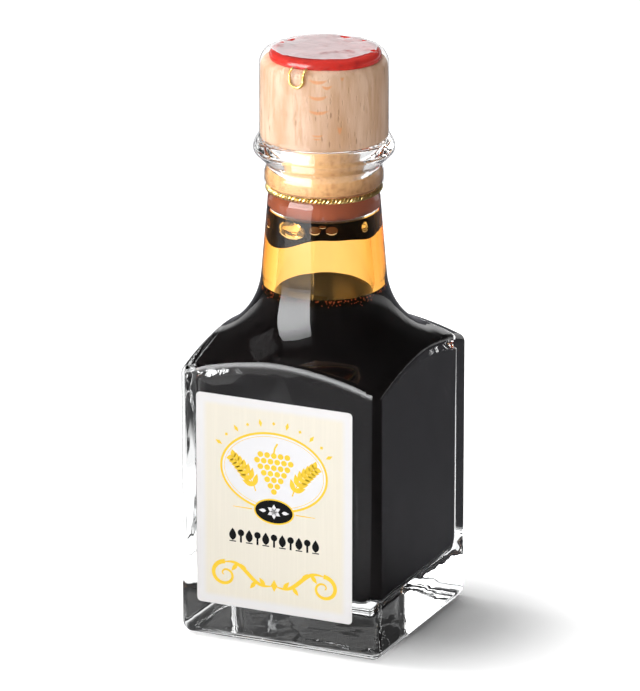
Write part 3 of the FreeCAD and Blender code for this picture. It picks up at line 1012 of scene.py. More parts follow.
@dataclass
class Vinegar:
    """The vinegar up to its level, wetting the glass and creeping up it at the rim."""

    bottle: GlassBottle
    reach: float = 0.06
    creep: float = 0.55
    creep_width: float = 0.8
    # how far in the rings of the rim go, how many there are, and the rings inside them
    rim_share: float = 0.16
    rim_rings: int = 9
    inner_rings: tuple[float, float] = (0.6, 0.3)
    crease: float = 40.0

    def build(self, finish: DarkVinegar) -> bpy.types.Object:
        """Make the vinegar from its node: a little into the wall, with a curved rim.

        Args:
            finish: The vinegar's finish.

        Returns:
            The new piece.
        """
        _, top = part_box("vinegar")
        level = top.z
        work = bmesh.new()
        work.from_mesh(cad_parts["vinegar"].data)
        bmesh.ops.remove_doubles(work, verts=work.verts, dist=1e-6)
        flat = [face for face in work.faces if all(level - corner.co.z < 1e-6 for corner in face.verts)]
        bmesh.ops.delete(work, geom=flat, context="FACES")
        work.normal_update()
        moves = [(corner, corner.normal.copy()) for corner in work.verts]
        for corner, normal in moves:
            corner.co += normal * self.reach * MM
        rim = [edge for edge in work.edges if edge.is_boundary]
        ring = sorted({corner for edge in rim for corner in edge.verts},
                      key=lambda corner: math.atan2(corner.co.y, corner.co.x))
        for corner in ring:
            corner.co.z = level + self.creep * MM
        self.close_top(work, ring, level)
        mesh = bpy.data.meshes.new("vinegar_fill")
        work.to_mesh(mesh)
        work.free()
        mesh.materials.append(finish.build(free=False))
        mesh.materials.append(finish.build(free=True))
        mesh.shade_smooth()
        mesh.set_sharp_from_angle(angle=math.radians(self.crease))
        made = bpy.data.objects.new("vinegar_fill", mesh)
        bpy.context.scene.collection.objects.link(made)
        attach(made, BODY)
        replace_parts(made, "vinegar")
        return made

    def close_top(self, work: bmesh.types.BMesh, ring: list[bmesh.types.BMVert], level: float) -> None:
        """Close the vinegar with rings of faces that sink from the rim to the level.

        Args:
            work: The mesh under construction.
            ring: The corners of its rim in order.
            level: The height of the level in metres.
        """
        rim = [1.0 - self.rim_share * self.creep_width * (step / self.rim_rings) ** 1.5
               for step in range(1, self.rim_rings + 1)]
        before = ring
        for share in (*rim, *self.inner_rings):
            row = []
            for corner in ring:
                radius = math.hypot(corner.co.x, corner.co.y) / MM
                inward = radius * (1 - share)
                lift = self.creep * math.exp(-inward / (self.creep_width * 0.45))
                row.append(work.verts.new((corner.co.x * share, corner.co.y * share, level + lift * MM)))
            self.join(work, before, row)
            before = row
        centre = work.verts.new((0.0, 0.0, level))
        for number, corner in enumerate(before):
            face = work.faces.new((corner, before[(number + 1) % len(before)], centre))
            face.material_index = 1

    @staticmethod
    def join(work: bmesh.types.BMesh, outer: list[bmesh.types.BMVert],
             inner: list[bmesh.types.BMVert]) -> None:
        """Join two rings of corners with faces that meet the air.

        Args:
            work: The mesh under construction.
            outer: The outer ring's corners.
            inner: The inner ring's corners.
        """
        for number in range(len(outer)):
            beside = (number + 1) % len(outer)
            face = work.faces.new((outer[number], outer[beside], inner[beside], inner[number]))
            face.material_index = 1


@dataclass(frozen=True)
class Bubble:
    """A bubble against the glass: turn in degrees, height, half sizes, and whether it is clear."""

    turn: float
    height: float
    half_wide: float
    half_high: float
    clear: bool = False


@dataclass
class NeckResidue:
    """What clings inside the neck: an amber film, a dark ring under the stopper, and bubbles."""

    bottle: GlassBottle
    bubbles: tuple[Bubble, ...] = (
        Bubble(-44.0, 91.5, 3.3, 1.75, True), Bubble(-11.5, 92.3, 1.15, 0.95), Bubble(9.5, 92.3, 1.2, 0.95),
        Bubble(-2.0, 93.2, 0.75, 0.35), Bubble(56.0, 91.9, 0.9, 1.1, True), Bubble(98.0, 90.9, 1.5, 1.2),
        Bubble(140.0, 91.2, 1.9, 1.4, True), Bubble(190.0, 90.8, 1.2, 1.1),
        Bubble(232.0, 91.3, 2.0, 1.5, True), Bubble(268.0, 91.0, 1.1, 1.0))
    film_low: float = 75.2
    film_over: float = 0.6
    # how far off the glass the film's two faces lie, the outer one inside it
    film_faces: tuple[float, float] = (-0.45, 0.05)
    film_rows: int = 40
    film_sides: int = 160
    ring_thick: float = 1.3
    ring_tall: float = 3.4
    ring_over: float = 0.3
    ring_rows: int = 26
    # where the ring hangs lower: angle off the front, how much, how wide
    tongues: tuple[tuple[float, float, float], ...] = ((-1.25, 3.3, 0.75), (1.2, 0.8, 0.6))
    # the clear bubbles: the size of their skins' inner faces, and how flat they are, both as shares
    bubble_inside: float = 0.86
    bubble_flat: float = 0.8
    beads: int = 260
    bead_fall: float = 0.65
    bead_sizes: tuple[float, float] = (0.08, 0.17)
    sides: int = 400

    def __post_init__(self) -> None:
        """Measure the room between the vinegar and the stem, and sort out the clear bubbles."""
        self.clear_bubbles = [bubble for bubble in self.bubbles if bubble.clear]
        self.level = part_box("vinegar")[1].z / MM
        self.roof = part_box("stopper_stem")[0].z / MM

    def wall(self, turn: float, height: float, inward: float) -> Vector:
        """A point off the inside of the neck, at an inward distance from the glass."""
        return around(turn, self.bottle.bore(height) - inward, height)

    def build_film(self, stain: bpy.types.Material) -> bpy.types.Object:
        """Make the amber film on the glass.

        Args:
            stain: Its material.

        Returns:
            The new piece.
        """
        shell = Shell()
        tall = self.roof + self.film_over - self.film_low
        heights = [self.film_low + tall * step / self.film_rows for step in range(self.film_rows + 1)]
        outer, inner = ([[self.wall(turn, height, inward) for turn in circle(self.film_sides)]
                         for height in heights] for inward in self.film_faces)
        shell.grid(outer + list(reversed(inner)), along=True)
        return shell.piece("amber_film", [stain], Slot.VINEGAR)

    def lower_edge(self, turn: float) -> float:
        """The height where the dark ring ends, which wanders round the neck.

        Args:
            turn: The turn from the front.

        Returns:
            The height in millimetres.
        """
        off = from_front(FRONT_TURN + turn)
        sway = 0.2 * math.sin(turn * 3 - 1.1) + 0.1 * math.sin(turn * 7)
        edge = self.roof - self.ring_tall - sway
        for middle, deep, wide in self.tongues:
            edge -= deep * math.exp(-((off - middle) / wide) ** 2)
        return edge

    def in_bubble(self, turn: float, height: float) -> bool:
        """Whether a point of the wall lies in a clear bubble.

        Args:
            turn: The point's turn from the front.
            height: The point's height.

        Returns:
            True in a clear bubble.
        """
        for bubble in self.clear_bubbles:
            aside = from_front(FRONT_TURN + turn - math.radians(bubble.turn)) * self.bottle.bore(height)
            above = height - bubble.height
            if (aside / bubble.half_wide) ** 2 + (above / bubble.half_high) ** 2 < 1:
                return True
        return False

    def build_ring(self, finish: DarkVinegar) -> bpy.types.Object:
        """Make the dark ring that hangs under the stopper, open where the bubbles are.

        Args:
            finish: The vinegar's finish.

        Returns:
            The new piece.
        """
        shell = Shell()
        turns = circle(self.sides)
        rows = self.ring_rows
        top = self.roof + self.ring_over
        outer, inner = [], []
        for step in range(rows):
            share = step / (rows - 1)
            line, back = [], []
            for turn in turns:
                low = self.lower_edge(turn)
                height = low + (top - low) * share
                inward = 0.1 + self.ring_thick * share ** 1.5
                line.append(self.wall(turn, height, -0.05))
                back.append(self.wall(turn, min(height, self.roof - 0.02), inward))
            outer.append(line)
            inner.append(back)

        def open_at(row: int, column: int) -> bool:
            """Whether a face of the outside or the inside is solid vinegar.

            Args:
                row: The face's row.
                column: The face's place in its row.

            Returns:
                False where a bubble opens the ring.
            """
            share = (min(row, 2 * rows - 1 - row) + 0.5) / rows
            turn = turns[column]
            low = self.lower_edge(turn)
            return not self.in_bubble(turn, low + (top - low) * share)

        shell.grid(outer + list(reversed(inner)), along=True, keep=open_at)
        return shell.piece("vinegar_ring", [finish.build(free=False)], Slot.VINEGAR)

    def build_bubbles(self, skin: bpy.types.Material) -> bpy.types.Object:
        """Make the skins of the clear bubbles in the ring.

        Args:
            skin: Their material.

        Returns:
            The new piece.
        """
        shell = Shell()
        for bubble in self.clear_bubbles:
            depth = min(bubble.half_wide, bubble.half_high)
            centre = self.wall(math.radians(bubble.turn), bubble.height, depth * 0.75)
            outward = around(math.radians(bubble.turn), 1.0, 0.0)
            beside = Vector((0, 0, 1)).cross(outward)
            for scale in (1.0, self.bubble_inside):
                ball = Shell()
                ball.ball(Vector(), (1.0, 1.0, 1.0), 18, 28)
                offsets = [outward * point.x * depth * self.bubble_flat + beside * point.y * bubble.half_wide
                           + Vector((0, 0, point.z * bubble.half_high)) for point in ball.points]
                shell.add([centre + offset * scale for offset in offsets], ball.faces)
        return shell.piece("ring_bubbles", [skin], Slot.VINEGAR)

    def build_shut_bubbles(self, body: bpy.types.Material, painted_rim_highlight: bpy.types.Material) -> bpy.types.Object:
        """Make the small bubbles that stay dark, and on every bubble's lower rim a light crescent, which is
        a painted highlight.

        Args:
            body: The material of their faces.
            painted_rim_highlight: The material of their rims.

        Returns:
            The new piece.
        """
        shell = Shell()
        for bubble in self.bubbles:
            middle = math.radians(bubble.turn)
            reach = self.bottle.bore(bubble.height)

            def spot(turn: float, share: float, inward: float) -> Vector:
                """A point of the bubble.

                Args:
                    turn: Its turn about the bubble's middle.
                    share: Its distance from the middle as a share of the bubble's size.
                    inward: Its distance from the glass.

                Returns:
                    The point.
                """
                return self.wall(middle + bubble.half_wide / reach * share * math.cos(turn),
                                 bubble.height + bubble.half_high * share * math.sin(turn), inward)

            turns = circle(28)
            if not bubble.clear:
                shell.grid([[spot(turn, share, -0.06 - 0.05 * (1 - share ** 2)) for turn in turns]
                            for share in (1.0, 0.8, 0.6, 0.4, 0.2, 0.02)])
                shell.cap([spot(turn, 0.02, -0.11) for turn in turns])
            # a light crescent on every bubble's lower rim: a painted highlight
            arc = [math.pi * (1.12 + 0.76 * step / 20) for step in range(21)]
            rows = []
            for edge in (0.0, 1.0):
                rows.append([spot(turn, 0.97 - edge * 0.2 * math.sin(math.pi * step / 20), -0.13)
                             for step, turn in enumerate(arc)])
            shell.grid(rows, around=False, kind=1)
        return shell.piece("ring_bubble_rims", [body, painted_rim_highlight], Slot.VINEGAR)

    def build_beads(self, froth: bpy.types.Material) -> bpy.types.Object:
        """Make the tiny bubbles along the vinegar's rim.

        Args:
            froth: Their material.

        Returns:
            The new piece.
        """
        shell = Shell()
        chance = random.Random(11)
        for _ in range(self.beads):
            turn = chance.uniform(-math.pi, math.pi)
            fall = abs(chance.gauss(0.0, self.bead_fall))
            height = self.level + 0.3 - fall
            size = chance.uniform(*self.bead_sizes) * (1.25 if fall < 0.4 else 0.8)
            centre = self.wall(turn, height, -0.07)
            shell.ball(centre, (size, size, size), 6, 8)
        return shell.piece("rim_beads", [froth], Slot.VINEGAR)


# ---------------------------------------------------------------- the stopper and its seal


@dataclass
class Stopper:
    """The turned wooden head and the cork stem."""

    rounding: float = 1.02
    foot_edge: float = 0.45
    head_uneven: float = 0.035
    # how far the stem is pressed into the glass, where it leaves it, and the gap above
    squeeze: float = 0.08
    pressed_tall: float = 8.8
    gap: float = 0.3
    pore_depth: float = 0.08
    sides: int = 160

    def build_head(self, finish: Beech) -> bpy.types.Object:
        """Make the wooden head.

        Args:
            finish: The wood's finish.

        Returns:
            The new piece.
        """
        low, high = (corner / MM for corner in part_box("stopper_head"))
        radius = high.x
        edge = self.foot_edge
        corners = [(AXIS_GAP, low.z), (radius * 0.5, low.z), (radius - edge, low.z), (radius, low.z + edge),
                   (radius, low.z + 6.0), (radius, high.z - 6.0), (radius - 0.12, high.z - 1.7),
                   (radius - 0.55, high.z - 0.6), (radius - 1.6, high.z), (radius * 0.5, high.z),
                   (AXIS_GAP, high.z)]

        def wander(turn: float, reach: float, height: float) -> float:
            """The slight unevenness of turned wood.

            Args:
                turn: The point's turn about the axis.
                reach: Its distance from the axis.
                height: Its height.

            Returns:
                How far it stands out.
            """
            place = Vector((math.cos(turn) * 2, math.sin(turn) * 2, height * 0.12))
            return self.head_uneven * noise.noise(place) - self.head_uneven if reach > radius * 0.9 else 0.0

        made = self.closed(turned(eased(corners, self.rounding, 6), self.sides, wander)).piece(
            "beech_head", [finish.build(low.z)], Slot.BEECH, crease=60)
        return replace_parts(made, "stopper_head")

    @staticmethod
    def closed(rows: Sequence[Sequence[Vector]]) -> Shell:
        """Skin rows of points round an axis, closed at both ends.

        Args:
            rows: The rows from the lower end to the upper.

        Returns:
            The closed shell.
        """
        shell = Shell()
        shell.grid(rows)
        shell.cap(rows[0], flip=True)
        shell.cap(rows[-1])
        return shell

    def build_stem(self, finish: Cork) -> bpy.types.Object:
        """Make the cork stem, pressed into the mouth.

        Args:
            finish: The cork's finish.

        Returns:
            The new piece.
        """
        low, high = (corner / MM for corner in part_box("stopper_stem"))
        radius = high.x
        wide, narrow = radius + self.squeeze, radius - self.gap
        top = high.z - 0.02
        corners = [(AXIS_GAP, low.z), (radius * 0.5, low.z), (radius - 0.9, low.z), (wide, low.z + 0.9),
                   (wide, low.z + 6.0), (wide, low.z + self.pressed_tall), (narrow, low.z + 10.0),
                   (narrow, top), (AXIS_GAP, top)]

        def wander(turn: float, reach: float, height: float) -> float:
            """The pores of the cork.

            Args:
                turn: The point's turn about the axis.
                reach: Its distance from the axis.
                height: Its height.

            Returns:
                How far it stands out.
            """
            place = Vector((math.cos(turn) * 6, math.sin(turn) * 6, height * 0.8))
            return -self.pore_depth * max(0.0, noise.noise(place)) if reach > radius - 0.5 else 0.0

        made = self.closed(turned(self.finer(eased(corners, 0.3, 3)), self.sides, wander)).piece(
            "cork_stem", [finish.build(low.z)], Slot.CORK, crease=60)
        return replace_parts(made, "stopper_stem")

    @staticmethod
    def finer(profile: Sequence[tuple[float, float]], step: float = 0.6) -> list[tuple[float, float]]:
        """Put more points on the long stretches of a profile.

        Args:
            profile: Its points as radius and height.
            step: How far apart the points may be.

        Returns:
            The finer profile.
        """
        fine = [profile[0]]
        for start, end in zip(profile, profile[1:]):
            count = max(1, round(math.dist(start, end) / step))
            fine.extend((start[0] + (end[0] - start[0]) * number / count,
                         start[1] + (end[1] - start[1]) * number / count)
                        for number in range(1, count + 1))
        return fine


@dataclass
class WaxSeal:
    """The wax: a flowed disc with a swollen rim and a stamped hollow with a plain wreath."""

    hollow: float = 9.4
    sink: float = 0.75
    # the uneven outline: how many lobes, where they start, how deep they are
    lobes: tuple[tuple[int, float, float], ...] = (
        (1, 1.14, 0.8), (2, 0.7, 0.25), (3, 2.1, 0.3), (5, 4.0, 0.2), (8, 1.3, 0.13))
    lobe_depth: float = 0.035
    # the rim from its foot to its inner side: shares of the reach and of the thickness
    rim: tuple[tuple[float, float], ...] = (
        (0.94, -0.03), (0.985, -0.12), (1.0, 0.1), (0.998, 0.42), (0.985, 0.62), (0.96, 0.8),
        (0.925, 0.93), (0.89, 0.985), (0.86, 1.0), (0.83, 0.985), (0.80, 0.93), (0.775, 0.82), (0.755, 0.7))
    floor_share: float = 0.74
    floor_rings: int = 52
    shift: tuple[float, float] = (0.67, 0.33)
    bead_count: int = 30
    leaf_count: int = 9
    leaf_lean: float = 1.4
    star_points: int = 5
    sides: int = 240

    def reach(self, turn: float) -> float:
        """How far the wax reaches at a turn, before it is scaled to the part."""
        lobes = sum(depth * math.sin(count * turn + phase) for count, phase, depth in self.lobes)
        return 1.0 + lobes * self.lobe_depth

    def band(self, distance: float, share: float, width: float) -> float:
        """How much of a round band is at a distance: 1 on it, and less beside it.

        Args:
            distance: The distance from the stamp's centre.
            share: The band's radius as a share of the hollow's.
            width: Its half width.

        Returns:
            A share from 0 to 1.
        """
        return math.exp(-((distance - self.hollow * share) / width) ** 2)

    def stamp(self, across: float, along: float) -> float:
        """The height of the stamped relief: a ring, a wreath of leaves and a plain star.

        Args:
            across: Distance from the stamp's centre along x.
            along: Distance from the stamp's centre along y.

        Returns:
            The relief's height in millimetres.
        """
        distance = math.hypot(across, along)
        turn = math.atan2(along, across)
        ring = 0.32 * self.band(distance, 0.84, 0.28)
        beads = 0.22 * max(0.0, math.cos(turn * self.bead_count)) * self.band(distance, 0.93, 0.25)
        swirl = turn * self.leaf_count + distance * self.leaf_lean
        leaves = 0.34 * max(0.0, math.cos(swirl)) * self.band(distance, 0.6, 0.95)
        star = 0.4 * max(0.0, 1.0 - distance / (1.6 + 1.1 * math.cos(turn * self.star_points)))
        return ring + beads + leaves + star

    def build(self, finish: RedWax) -> bpy.types.Object:
        """Make the wax seal.

        Args:
            finish: The wax finish.

        Returns:
            The new piece.
        """
        low, high = (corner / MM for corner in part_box("wax_seal"))
        thick = high.z - low.z
        widest = (high.x - low.x) / 2
        turns = circle(self.sides)
        rows = [[self.point(turn, share, low.z + up * thick, widest) for turn in turns]
                for share, up in self.rim]
        floor = low.z + thick - self.sink - 0.06
        edge = low.z + 0.7 * thick
        for step in range(self.floor_rings):
            share = self.floor_share - self.floor_share * step / self.floor_rings
            rows.append([self.stamped(turn, share, floor, widest, edge) for turn in turns])
        shell = Stopper.closed(rows)
        made = shell.piece("wax_disc", [finish.build()], Slot.WAX, crease=70)
        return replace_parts(made, "wax_seal")

    def point(self, turn: float, share: float, height: float, widest: float) -> Vector:
        """A point of the rim.

        Args:
            turn: Its turn about the axis.
            share: Its distance from the axis as a share of the wax's reach.
            height: Its height before the wax's ripple.
            widest: The widest reach.

        Returns:
            The point.
        """
        radius = widest * share * self.reach(turn) / 1.04
        ripple = 0.1 * noise.noise(Vector((math.cos(turn) * 3, math.sin(turn) * 3, height)))
        rise = ripple * min(1.0, (height % 1.0))
        return Vector((radius * math.cos(turn), radius * math.sin(turn), height + rise))

    def stamped(self, turn: float, share: float, floor: float, widest: float, rim: float) -> Vector:
        """A point of the stamped hollow.

        Args:
            turn: Its turn about the axis.
            share: Its distance from the axis as a share of the wax's reach.
            floor: The height of the hollow's floor.
            widest: The widest reach of the wax.
            rim: The height of the rim's inner edge.

        Returns:
            The point.
        """
        flat = self.point(turn, share, floor, widest)
        across = flat.x - self.shift[0]
        along = flat.y - self.shift[1]
        fall = min(1.0, max(0.0, (0.745 - share) / 0.02))
        height = rim + (floor + self.stamp(across, along) * 0.8 - rim) * fall
        height += 0.05 * noise.noise(Vector((flat.x, flat.y, 3.0)))
        return Vector((flat.x, flat.y, height))


@dataclass
class GoldCord:
    """Twisted gold thread: a ring round the neck and a small loop from under the wax."""

    strand: float = 0.3
    spread: float = 0.34
    twists: int = 44
    twist_steps: int = 14
    sway: float = 0.06
    strand_sides: int = 7
    loop_half: float = 0.34
    loop_bend: float = 1.25
    loop_spread: float = 0.17
    loop_strand: float = 0.2
    loop_twists: int = 15
    loop_step: float = 0.08

    def rope(self, shell: Shell, path: Sequence[Vector], spread: float, strand: float, turns: float,
             closed: bool) -> None:
        """Twist two strands along a path.

        Args:
            shell: Where they are added.
            path: The centre line.
            spread: How far the strands lie from it.
            strand: Half the thickness of a strand.
            turns: How many times they go round it.
            closed: Whether the path closes on itself.
        """
        count = len(path)
        across = Vector((0, 0, 1))
        for phase in (0.0, math.pi):
            line = []
            for number, point in enumerate(path):
                before = path[(number - 1) % count] if closed or number else point
                after = path[(number + 1) % count] if closed or number < count - 1 else point
                ahead = (after - before).normalized()
                side = ahead.cross(across)
                if side.length <= 0.2:
                    side = ahead.cross(Vector((1, 0, 0)))
                side.normalize()
                up = side.cross(ahead)
                angle = phase + 2 * math.pi * turns * number / count
                line.append(point + (side * math.cos(angle) + up * math.sin(angle)) * spread)
            shell.tube(line, strand, self.strand_sides, closed)

    def build_ring(self, thread: bpy.types.Material) -> bpy.types.Object:
        """Make the cord round the neck.

        Args:
            thread: The thread's material.

        Returns:
            The new piece.
        """
        low, high = (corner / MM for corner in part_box("gold_cord"))
        half = (high.z - low.z) / 2
        radius = high.x - half
        middle = (low.z + high.z) / 2
        path = [Vector((radius * math.cos(turn), radius * math.sin(turn),
                        middle + self.sway * math.sin(3 * turn)))
                for turn in circle(self.twists * self.twist_steps)]
        shell = Shell()
        self.rope(shell, path, self.spread, self.strand, self.twists, closed=True)
        made = shell.piece("gold_neck_cord", [thread], Slot.GOLD)
        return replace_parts(made, "gold_cord")

    def build_loop(self, thread: bpy.types.Material) -> bpy.types.Object:
        """Make the small loop that hangs over the head's edge.

        Args:
            thread: The thread's material.

        Returns:
            The new piece.
        """
        low, high = (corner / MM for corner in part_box("cord_loop"))
        half = high.x - self.loop_half
        out = low.y + self.loop_half
        top = high.z - self.loop_half
        drop = low.z + self.loop_half + half
        bend = self.loop_bend
        start = high.y
        path = [Vector((-half, start + (out + bend - start) * step / 6, top)) for step in range(6)]
        for step in range(9):
            turn = math.pi / 2 * step / 8
            path.append(Vector((-half, out + bend - bend * math.sin(turn),
                                top - bend + bend * math.cos(turn))))
        fall = drop - top + bend
        path.extend(Vector((-half, out, top - bend + fall * step / 5)) for step in range(1, 5))
        for step in range(17):
            turn = math.pi * step / 16
            path.append(Vector((-half * math.cos(turn), out, drop - half * math.sin(turn))))
        path.extend([Vector((-point.x, point.y, point.z)) for point in reversed(path[:19])])
        shell = Shell()
        fine = self.refine(path, self.loop_step)
        self.rope(shell, fine, self.loop_spread, self.loop_strand, self.loop_twists, closed=False)
        made = shell.piece("gold_loop", [thread], Slot.GOLD)
        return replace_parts(made, "cord_loop")

    @staticmethod
    def refine(path: Sequence[Vector], step: float) -> list[Vector]:
        """Points at even steps along a path.

        Args:
            path: The path's points.
            step: How far apart the new ones may be.

        Returns:
            The new points.
        """
        fine = []
        for start, end in zip(path, path[1:]):
            count = max(1, round((end - start).length / step))
            fine.extend(start.lerp(end, number / count) for number in range(count))
        return fine + [path[-1]]


@dataclass
class ShrinkFilm:
    """The clear film over the stopper, the seal and the lip, with folds gathered on top."""

    sides: int = 360
    # radii: round the collar, in the groove over it, and round the stopper's head
    skirt: float = 13.17
    groove: float = 12.53
    head: float = 14.15
    # the gathered pleats: turn, half width, depth
    pleats: tuple[tuple[float, float, float], ...] = (
        (-2.35, 0.16, 0.5), (-2.05, 0.07, 0.35), (2.7, 0.2, 0.45), (2.2, 0.1, 0.3),
        (1.4, 0.12, 0.3), (0.5, 0.14, 0.25), (-1.0, 0.1, 0.2))
    loop_bulge: float = 0.9

    def __post_init__(self) -> None:
        """Measure the head that the film lies over."""
        low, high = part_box("stopper_head")
        self.head_low = low.z / MM
        self.head_top = high.z / MM

    def profile(self) -> list[tuple[float, float]]:
        """The film's outside from its lower edge to the axis.

        Returns:
            Its points as radius and height.
        """
        low, high = (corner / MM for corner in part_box("film_sleeve"))
        head_low, head_top = self.head_low, self.head_top
        lip, head = high.x, self.head
        corners = [(self.skirt, low.z), (self.skirt, head_low - 7.8), (self.groove, head_low - 5.9),
                   (lip - 0.12, head_low - 3.0), (lip, head_low - 2.0), (lip - 0.35, head_low - 1.0),
                   (head + 0.01, head_low + 0.9), (head, head_low + 5.0), (head, head_top - 5.0),
                   (head - 0.03, head_top - 0.7),
                   (13.4, head_top + 0.95), (12.2, head_top + 1.85), (10.6, high.z - 0.12),
                   (5.0, high.z - 0.1), (0.03, high.z - 0.1)]
        return Stopper.finer(eased(corners, 0.5, 4), 0.5)

    def crumple(self, turn: float, radius: float, height: float) -> tuple[Vector, float]:
        """How the film is crumpled at a point.

        Args:
            turn: The point's turn about the axis.
            radius: Its distance from the axis.
            height: Its height.

        Returns:
            How far it sinks, and how far it draws in.
        """
        top = min(1.0, max(0.0, (height - self.head_top - 0.2) / 1.2))
        place = Vector((radius * math.cos(turn), radius * math.sin(turn), height))
        soft = noise.noise(place * 0.22) * 0.08 + noise.noise(place * 0.6) * 0.02
        pleats = 0.0
        for middle, width, deep in self.pleats:
            off = from_front(turn - middle)
            pleats += deep * math.exp(-(off / width) ** 2)
        fade = math.exp(-((radius - 10.5) / 2.6) ** 2)
        down = top * (abs(soft) * 2.2 + pleats * 0.8 * fade)
        return Vector((0.0, 0.0, -down)), -abs(soft) * 0.35 * (1 - top)

    def build(self, finish: ClearFilm) -> bpy.types.Object:
        """Make the film.

        Args:
            finish: The film's finish.

        Returns:
            The new piece.
        """
        outer = []
        for radius, height in self.profile():
            row = []
            for turn in circle(self.sides):
                sink, draw = self.crumple(turn, radius, height)
                bulge = self.bulge(turn, radius, height)
                reach = max(0.03, radius + min(draw, 0.0) * (1 if radius > 9 else 0) + bulge)
                row.append(Vector((reach * math.cos(turn), reach * math.sin(turn), height)) + sink)
            outer.append(row)
        shell = Shell()
        shell.grid(outer)
        shell.cap(outer[-1])
        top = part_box("film_sleeve")[1].z / MM
        made = shell.piece("shrink_film", [finish.build(top)], Slot.FILM, crease=180)
        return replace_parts(made, "film_sleeve")

    def bulge(self, turn: float, radius: float, height: float) -> float:
        """How far the film stands out over the gold loop.

        Args:
            turn: The point's turn about the axis.
            radius: Its distance from the axis.
            height: Its height.

        Returns:
            The distance in millimetres.
        """
        off = from_front(turn) - from_front(-math.pi / 2)
        side = math.exp(-(off / 0.16) ** 4)
        above = min(1.0, max(0.0, (height - (self.head_top - 5.2)) / 1.2))
        outside = min(1.0, max(0.0, radius - 12.6))
        return self.loop_bulge * side * (above * outside)


# ---------------------------------------------------------------- the label


class Ink(Enum):
    """The inks of the label, each with its colour."""

    GOLD = (1.0, 0.66, 0.05)
    BLACK = (0.004, 0.004, 0.0045)
    WHITE = (0.88, 0.87, 0.89)


class Press:
    """Prints flat shapes on the label's face, a few hundredths of a millimetre thick."""

    # how far the shapes reach into the paper
    sunk = 0.004

    def __init__(self, middle: Vector) -> None:
        """Start with nothing printed.

        Args:
            middle: The middle of the label's face in millimetres.
        """
        self.middle = middle
        self.shells = {ink: Shell() for ink in Ink}

    def fill(self, ink: Ink, outline: Sequence[tuple[float, float]], lift: float = 0.01) -> None:
        """Print a filled outline.

        Args:
            ink: The ink.
            outline: Its corners from the label's middle.
            lift: How far its face stands off the paper.
        """
        front = [self.middle + Vector((across, -lift, up)) for across, up in outline]
        back = [self.middle + Vector((across, self.sunk, up)) for across, up in outline]
        count = len(outline)
        sides = [(number, (number + 1) % count, count + (number + 1) % count, count + number)
                 for number in range(count)]
        self.shells[ink].add(front + back, [tuple(range(count)), *sides])

    def stroke(self, ink: Ink, line: Sequence[tuple[float, float]], widths: Callable[[float], float],
               closed: bool = False, lift: float = 0.01) -> None:
        """Print a line of changing width.

        Args:
            ink: The ink.
            line: The points it goes through, from the label's middle.
            widths: Its width at a share of its length.
            closed: Whether it closes on itself.
            lift: How far its face stands off the paper.
        """
        count = len(line)
        left, right = [], []
        for number, (across, up) in enumerate(line):
            before = Vector(line[(number - 1) % count] if closed or number else line[0])
            after = Vector(line[(number + 1) % count] if closed or number < count - 1 else line[-1])
            ahead = (after - before).normalized()
            half = widths(number / max(1, count - 1)) / 2
            left.append((across - ahead.y * half, up + ahead.x * half))
            right.append((across + ahead.y * half, up - ahead.x * half))
        rows = [[self.middle + Vector((across, depth, up)) for across, up in side]
                for side, depth in ((left, self.sunk), (left, -lift), (right, -lift), (right, self.sunk))]
        self.shells[ink].grid(rows, around=closed)

    @staticmethod
    def ellipse(across: float, up: float, half_wide: float, half_high: float,
                count: int = 72) -> list[tuple[float, float]]:
        """The points of an ellipse.

        Args:
            across: Its middle's distance to the right.
            up: Its middle's height.
            half_wide: Half its width.
            half_high: Half its height.
            count: How many points it has.

        Returns:
            The points.
        """
        return [(across + half_wide * math.cos(turn), up + half_high * math.sin(turn))
                for turn in circle(count)]

    @staticmethod
    def tilted(points: Sequence[tuple[float, float]], across: float, up: float,
               tilt: float) -> list[tuple[float, float]]:
        """Turn points about the origin and move them.

        Args:
            points: The points.
            across: How far they move to the right.
            up: How far they move up.
            tilt: How far they are turned.

        Returns:
            The moved points.
        """
        return [(across + x * math.cos(tilt) - y * math.sin(tilt),
                 up + x * math.sin(tilt) + y * math.cos(tilt)) for x, y in points]

    def leaf(self, ink: Ink, across: float, up: float, length: float, width: float, tilt: float,
             lift: float = 0.01) -> None:
        """Print a pointed leaf that grows from a point.

        Args:
            ink: The ink.
            across: The point's distance to the right.
            up: The point's height.
            length: How long the leaf is.
            width: How wide it is.
            tilt: The direction it grows in.
            lift: How far its face stands off the paper.
        """
        side = [(length * share, width / 2 * math.sin(math.pi * share ** 0.8)) for share in
                (step / 10 for step in range(11))]
        outline = side + [(x, -y) for x, y in reversed(side[1:-1])]
        self.fill(ink, self.tilted(outline, across, up, tilt), lift)

    def pieces(self) -> list[bpy.types.Object]:
        """Make one piece of each ink's shapes.

        Returns:
            The pieces.
        """
        made = []
        for ink, shell in self.shells.items():
            name = ink.name.lower()
            finish = Plain(f"ink_{name}", ink.value, rough=0.6, bend=1.2)
            made.append(shell.piece(f"label_{name}", [finish.build()], Slot.PAPER, weld=0.0001))
        return made


